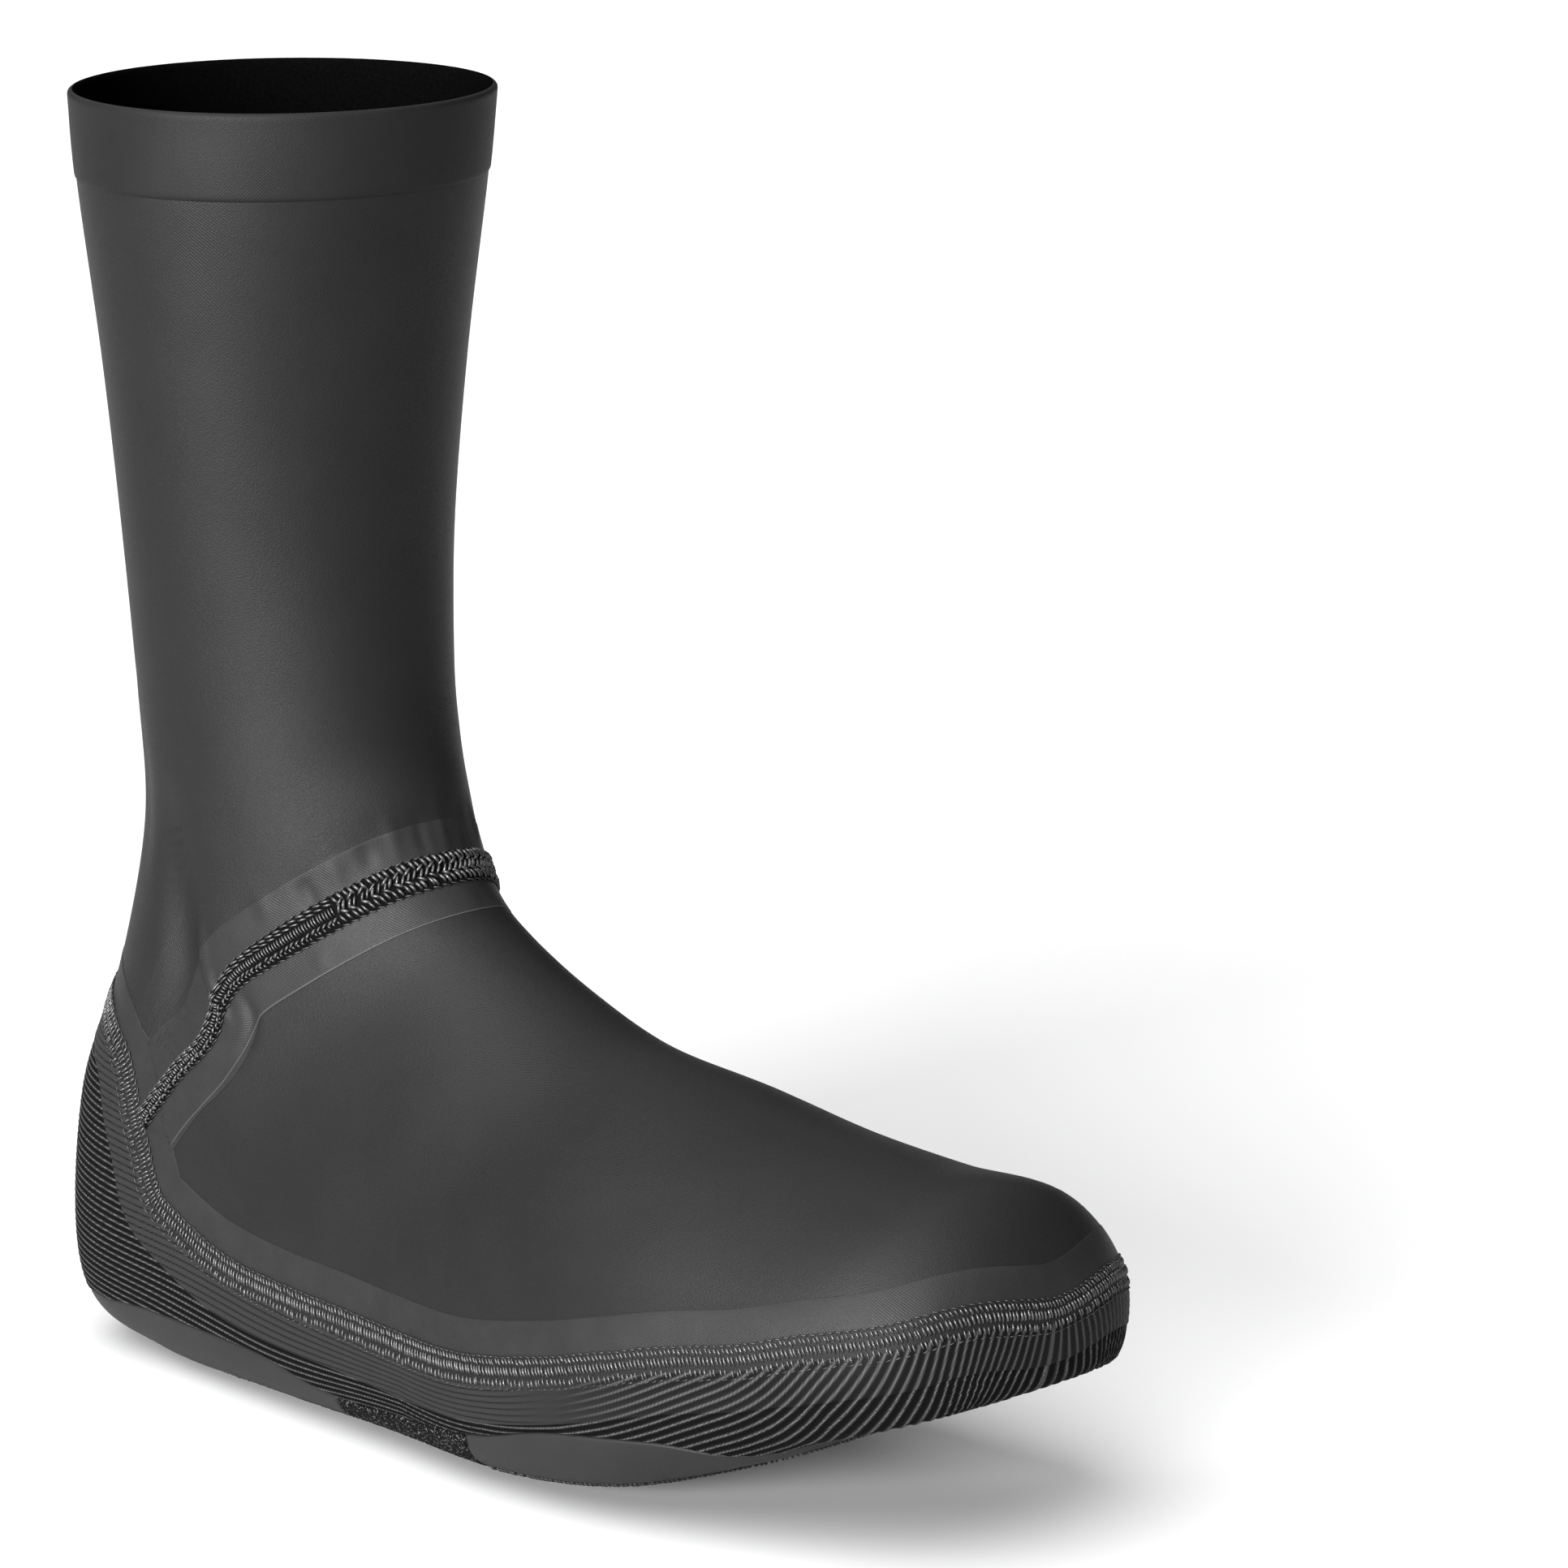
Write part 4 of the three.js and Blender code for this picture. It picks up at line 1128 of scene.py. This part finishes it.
def strokes(name, line, start, end, row_of_stitches, seed, narrowed=False):
    """A row of stitches along a line: their pitch, path, radius, material and jitter. The path is one
    stitch's points: distance along the line, distance to its left, and height over the wall."""
    thinnest = 0.8
    thickest = 1.15
    tip = 0.45
    pitch, path, radius, material, jitter = row_of_stitches
    path = np.array(path, float)
    count = int((end - start) / pitch)
    random = np.random.default_rng(seed)
    origins = start + (np.arange(count) + 0.5) * pitch
    along = origins[:, None] + path[None, :, 0] + random.normal(0, jitter, (count, 1))
    if line.closed:
        along = np.mod(along, line.length)
    aside = path[None, :, 1] * (narrowing(along) if narrowed else np.ones(along.shape))
    aside = aside + random.normal(0, jitter, (count, 1))
    row, girth = line.beside(line.knot_at(along), aside)
    out = wall_frame(row, girth)[2]
    wall = wall_point(row, girth)
    lift = path[None, :, 2] + relief(wall.reshape(-1, 3)).reshape(wall.shape[:2])
    centres = wall + out * lift[..., None]
    heading = np.gradient(centres, axis=1)
    heading /= np.linalg.norm(heading, axis=-1, keepdims=True)
    side = np.cross(heading, out)
    side /= np.linalg.norm(side, axis=-1, keepdims=True)
    over = np.cross(side, heading)
    taper = np.full((count, len(path)), radius) * random.uniform(thinnest, thickest, (count, 1))
    taper[:, [0, -1]] *= tip
    turn = np.linspace(0, 2 * math.pi, STITCH_SIDES, endpoint=False)
    rings = centres[:, :, None] + taper[:, :, None, None] * (
        side[:, :, None] * np.cos(turn)[None, None, :, None]
        + over[:, :, None] * np.sin(turn)[None, None, :, None])
    faces = stitch_faces(count, len(path))
    return new_object(name, rings.reshape(-1, 3), faces, [material])


def stitch_faces(count, rings):
    """The faces of a number of stitches, each a tube of rings with closed ends"""
    corner = np.arange(STITCH_SIDES)
    follow = (corner + 1) % STITCH_SIDES
    firsts = (np.arange(rings - 1) * STITCH_SIDES)[:, None]
    quads = np.stack([firsts + corner, firsts + follow, firsts + STITCH_SIDES + follow,
                      firsts + STITCH_SIDES + corner], axis=-1).reshape(-1, 4)
    caps = np.stack([corner[::-1], corner + (rings - 1) * STITCH_SIDES])
    stitches = (np.arange(count) * rings * STITCH_SIDES)[:, None, None]
    return [tuple(face) for group in (quads, caps)
            for face in (group[None] + stitches).reshape(-1, group.shape[1]).tolist()]


def arch(start, end, slant, low, high):
    """One stitch's path across the seam, from one distance beside the line to another"""
    share = np.linspace(0, 1, STITCH_POINTS)
    return np.stack([slant * (share - 0.5), start + (end - start) * share,
                     low + (high - low) * np.sin(math.pi * share)], axis=1)


def rope(middle, length, slant, low, high):
    """One stitch's path along the seam, as a strand of a rope"""
    share = np.linspace(0, 1, STITCH_POINTS)
    return np.stack([length * (share - 0.5), middle + slant * (share - 0.5),
                     low + (high - low) * np.sin(math.pi * share)], axis=1)


# Rows of stitches from a seam's upper side to its lower one: pitch, one stitch's path, the thread's
# radius and finish, and how unevenly the stitches lie
RAND_STITCHES = {
    "edge": (2.1, rope(3.9, 1.9, -0.5, 0.3, 0.55), 0.17, OVERLOCK, 0.05),
    "rope": (1.15, arch(3.5, 1.9, 0.8, 0.25, 0.5), 0.3, THREAD, 0.1),
    "satin": (1.05, arch(1.7, -0.7, 0.6, 0.25, 0.6), 0.34, THREAD, 0.1),
    "loops": (1.3, arch(-1.2, -3.1, 0.3, 0.25, 0.5), 0.3, THREAD, 0.2),
    "low_edge": (2.1, rope(-3.8, 1.7, 0.4, 0.3, 0.55), 0.15, OVERLOCK, 0.1),
}
ANKLE_SIDE_STITCHES = {
    "rope": (2.4, rope(3.3, 2.5, -0.7, 0.35, 0.85), 0.3, THREAD, 0.07),
    "rope_inner": (2.4, rope(2.3, 2.5, -0.7, 0.35, 0.8), 0.28, THREAD, 0.07),
    "ladder": (0.85, arch(1.6, -0.9, 0.2, 0.35, 0.9), 0.27, THREAD, 0.05),
    "loops": (1.6, rope(-1.9, 1.4, 1.0, 0.35, 0.9), 0.36, THREAD, 0.14),
    "loops_low": (1.3, arch(-2.2, -3.3, 0.5, 0.35, 0.8), 0.24, THREAD, 0.12),
}
ANKLE_FRONT_STITCHES = {
    "braid": (1.5, arch(3.9, 1.5, 1.3, 0.35, 1.0), 0.4, THREAD, 0.16),
    "braid_upper": (2.9, rope(1.7, 2.2, 1.5, 0.4, 0.9), 0.38, THREAD, 0.16),
    "braid_middle": (1.5, arch(1.5, -0.9, -1.3, 0.35, 1.0), 0.4, THREAD, 0.16),
    "braid_lower": (2.9, rope(-1.1, 2.2, -1.5, 0.4, 0.9), 0.38, THREAD, 0.16),
    "braid_low": (1.5, arch(-1.2, -3.6, 1.3, 0.35, 1.0), 0.38, THREAD, 0.16),
}
ANKLE_EDGE_STITCHES = {
    "edge": (2.4, rope(4.0, 2.2, 0.5, 0.3, 0.5), 0.16, OVERLOCK, 0.06),
    "low_edge": (2.4, rope(-4.0, 2.3, -0.7, 0.3, 0.55), 0.18, OVERLOCK, 0.06),
}


def seam_rows(name, line, start, end, rows, narrowed=False):
    for number, (key, row) in enumerate(rows.items()):
        piece(strokes(f"{name}_{key}", line, start, end, row, number, narrowed), "seam_stitching")


def rand_stitching():
    inset, lift = RAND_GROUND
    edge = STITCHING_WIDTH / 2 - inset
    ground = band("rand_stitch_ground", rand_top, edge, -edge, GROUND_CELLS, SEAM_GROUND, lift)
    piece(ground, "seam_stitching", "rand_seam_stitching")
    seam_rows("rand_stitch", rand_top, 0, rand_top.length, RAND_STITCHES)


def ankle_stitching():
    inset, lift = ANKLE_GROUND
    half = STITCHING_WIDTH / 2
    edge = half - inset
    # Its ground is painted near black as shade between the stitches
    ankle_strip("ankle_stitch_ground", edge, -edge, GROUND_CELLS, PAINTED_SHADE_GROUND, lift,
                "seam_stitching", "ankle_seam_stitching", half, True)
    start = clear_of_rand(0, False, half - STITCH_OVERLAP)
    end = ankle_seam.length - start
    braid_start = BRAID_START * ankle_seam.length
    braid_end = ankle_seam.length - braid_start
    seam_rows("ankle_stitch_outer", ankle_seam, start, braid_start, ANKLE_SIDE_STITCHES, narrowed=True)
    seam_rows("ankle_stitch_inner", ankle_seam, braid_end, end, ANKLE_SIDE_STITCHES, narrowed=True)
    seam_rows("ankle_stitch_front", ankle_seam, braid_start, braid_end, ANKLE_FRONT_STITCHES)
    seam_rows("ankle_stitch", ankle_seam, start, end, ANKLE_EDGE_STITCHES, narrowed=True)


# Under the foot


# The overlock stitches over a strip's free edge, in the columns of the seams' rows. One stitch's points
# are given along the edge, inwards from it and over the wall.
OVERLOCK_STITCHES = (1.2, [(-0.4, 2.6, 0.1), (-0.1, 1.3, 0.35), (0.1, 0, 0.2), (0.2, -0.7, -0.8),
                           (0.3, 0, -1.8), (0.4, 1.6, -2)], 0.34, OVERLOCK, 0.12)


def sole_strip(name, row, girth, opening, node):
    """A strip from an outer line to the free edge round an opening. Both are given from the strap to
    the middle of the foot on the outer side, and the inner side mirrors them."""
    outer = (np.concatenate([row, row[-2::-1]]), np.concatenate([girth, 1 - girth[-2::-1]]))
    free = WallLine(opening + mirrored(opening)[1:])
    edge = free.place(even_knots(free, 0, free.length, len(outer[0]) - 1))
    obj = fabric(name, outer, edge, STRIP_CELLS, SOLE_FABRIC, [EDGED, INSIDE], False)
    piece(obj, "edging_fabric", node)
    overlock = strokes(f"{name}_overlock", free, 1, free.length - 1, OVERLOCK_STITCHES, seed=3)
    piece(overlock, "edging_fabric")


def heel_strip():
    end = rand_bottom.distance_at(STRAP_BACK) - PIECE_GAP
    row, girth = rand_bottom.place(even_knots(rand_bottom, end, 0, STRIP_COLUMNS))
    sole_strip("heel_strip", row, girth, list(HEEL_OPENING.values())[::-1], "heel_opening_strip")


def forefoot_strip():
    """Behind the toe opening, the strip's outer line leaves the rand for the opening's rear edge"""
    start = rand_bottom.distance_at(STRAP_FRONT) + PIECE_GAP
    end = rand_bottom.distance_at(TOE_CORNER)
    row, girth = rand_bottom.place(even_knots(rand_bottom, start, end, FOREFOOT_COLUMNS))
    row = np.concatenate([row, np.full(REAR_COLUMNS, float(OPENING_ROW))])
    girth = np.concatenate([girth, np.linspace(OPENING_CORNER, 0.5, REAR_COLUMNS)])
    sole_strip("forefoot_strip", row, girth, list(CLEAT_OPENING.values()), "forefoot_opening_strip")


def arch_strap():
    start = rand_bottom.distance_at(STRAP_BACK) + PIECE_GAP
    end = rand_bottom.distance_at(STRAP_FRONT) - PIECE_GAP
    row, girth = rand_bottom.place(even_knots(rand_bottom, start, end, STRIP_COLUMNS))
    heights = np.random.default_rng(5).uniform(0, LUMP_HEIGHT, LUMP_REPEAT)

    def lumps(points, _):
        lump = np.floor(points[:, :2] / LUMP_SIZE).astype(int) % LUMP_REPEAT
        return heights[lump[:, 0], lump[:, 1]]

    obj = fabric("arch_strap_rough", (row, girth), (row, 1 - girth), STRAP_CELLS, STRAP_FABRIC,
                 [ROUGH, ROUGH], False, surface=lumps)
    piece(obj, "strap_fabric", "arch_strap")


# The scene


def towards(azimuth, elevation):
    """The direction to a light or camera. Its azimuth in degrees counts from the view along +Y."""
    azimuth = math.radians(azimuth)
    elevation = math.radians(elevation)
    return Vector((math.sin(azimuth) * math.cos(elevation), -math.cos(azimuth) * math.cos(elevation),
                   math.sin(elevation)))


def sun_light(name, azimuth, elevation, angle, strength):
    """A broad, even light from far away"""
    light = bpy.data.lights.new(name, "SUN")
    light.angle = math.radians(angle)
    light.energy = strength
    obj = bpy.data.objects.new(name, light)
    obj.rotation_euler = towards(azimuth, elevation).to_track_quat("Z", "Y").to_euler()
    bpy.context.scene.collection.objects.link(obj)


def camera():
    """The photograph's view: its focal length and size in pixels, and where the lens looks"""
    photo_width = 1932
    focal_length = 9200
    distance = 1.769
    aim = Vector((0.0223, 0.0567, 0.1505))
    back = towards(44, 13)
    right = Vector((0, 0, 1)).cross(back).normalized()
    up = back.cross(right)
    data = bpy.data.cameras.new("camera")
    data.sensor_width = 36
    data.lens = data.sensor_width * focal_length / photo_width
    data.clip_end = 20
    obj = bpy.data.objects.new("camera", data)
    turn = Matrix((right, up, back)).transposed()
    obj.matrix_world = Matrix.Translation(aim + back * distance) @ turn.to_4x4()
    bpy.context.scene.collection.objects.link(obj)
    bpy.context.scene.camera = obj


def studio():
    level = -0.8
    size = 6000
    corners = [(-size, -size, level), (size, -size, level), (size, size, level), (-size, size, level)]
    floor = new_object("floor", corners, [(0, 1, 2, 3)], [FLOOR])
    world = bpy.data.worlds.new("studio")
    world.use_nodes = True
    background = world.node_tree.nodes["Background"]
    background.inputs["Color"].default_value = (1, 1, 1, 1)
    background.inputs["Strength"].default_value = WORLD_LIGHT
    bpy.context.scene.world = world
    bpy.context.scene.view_settings.view_transform = "Standard"
    for name, (azimuth, elevation, angle, strength) in SUNS.items():
        sun_light(name, azimuth, elevation, angle, strength)


camera()
cuff_band()
leg()
foot_upper()
rand()
rand_tapes()
ankle_tapes()
rand_stitching()
ankle_stitching()
heel_strip()
forefoot_strip()
arch_strap()
studio()
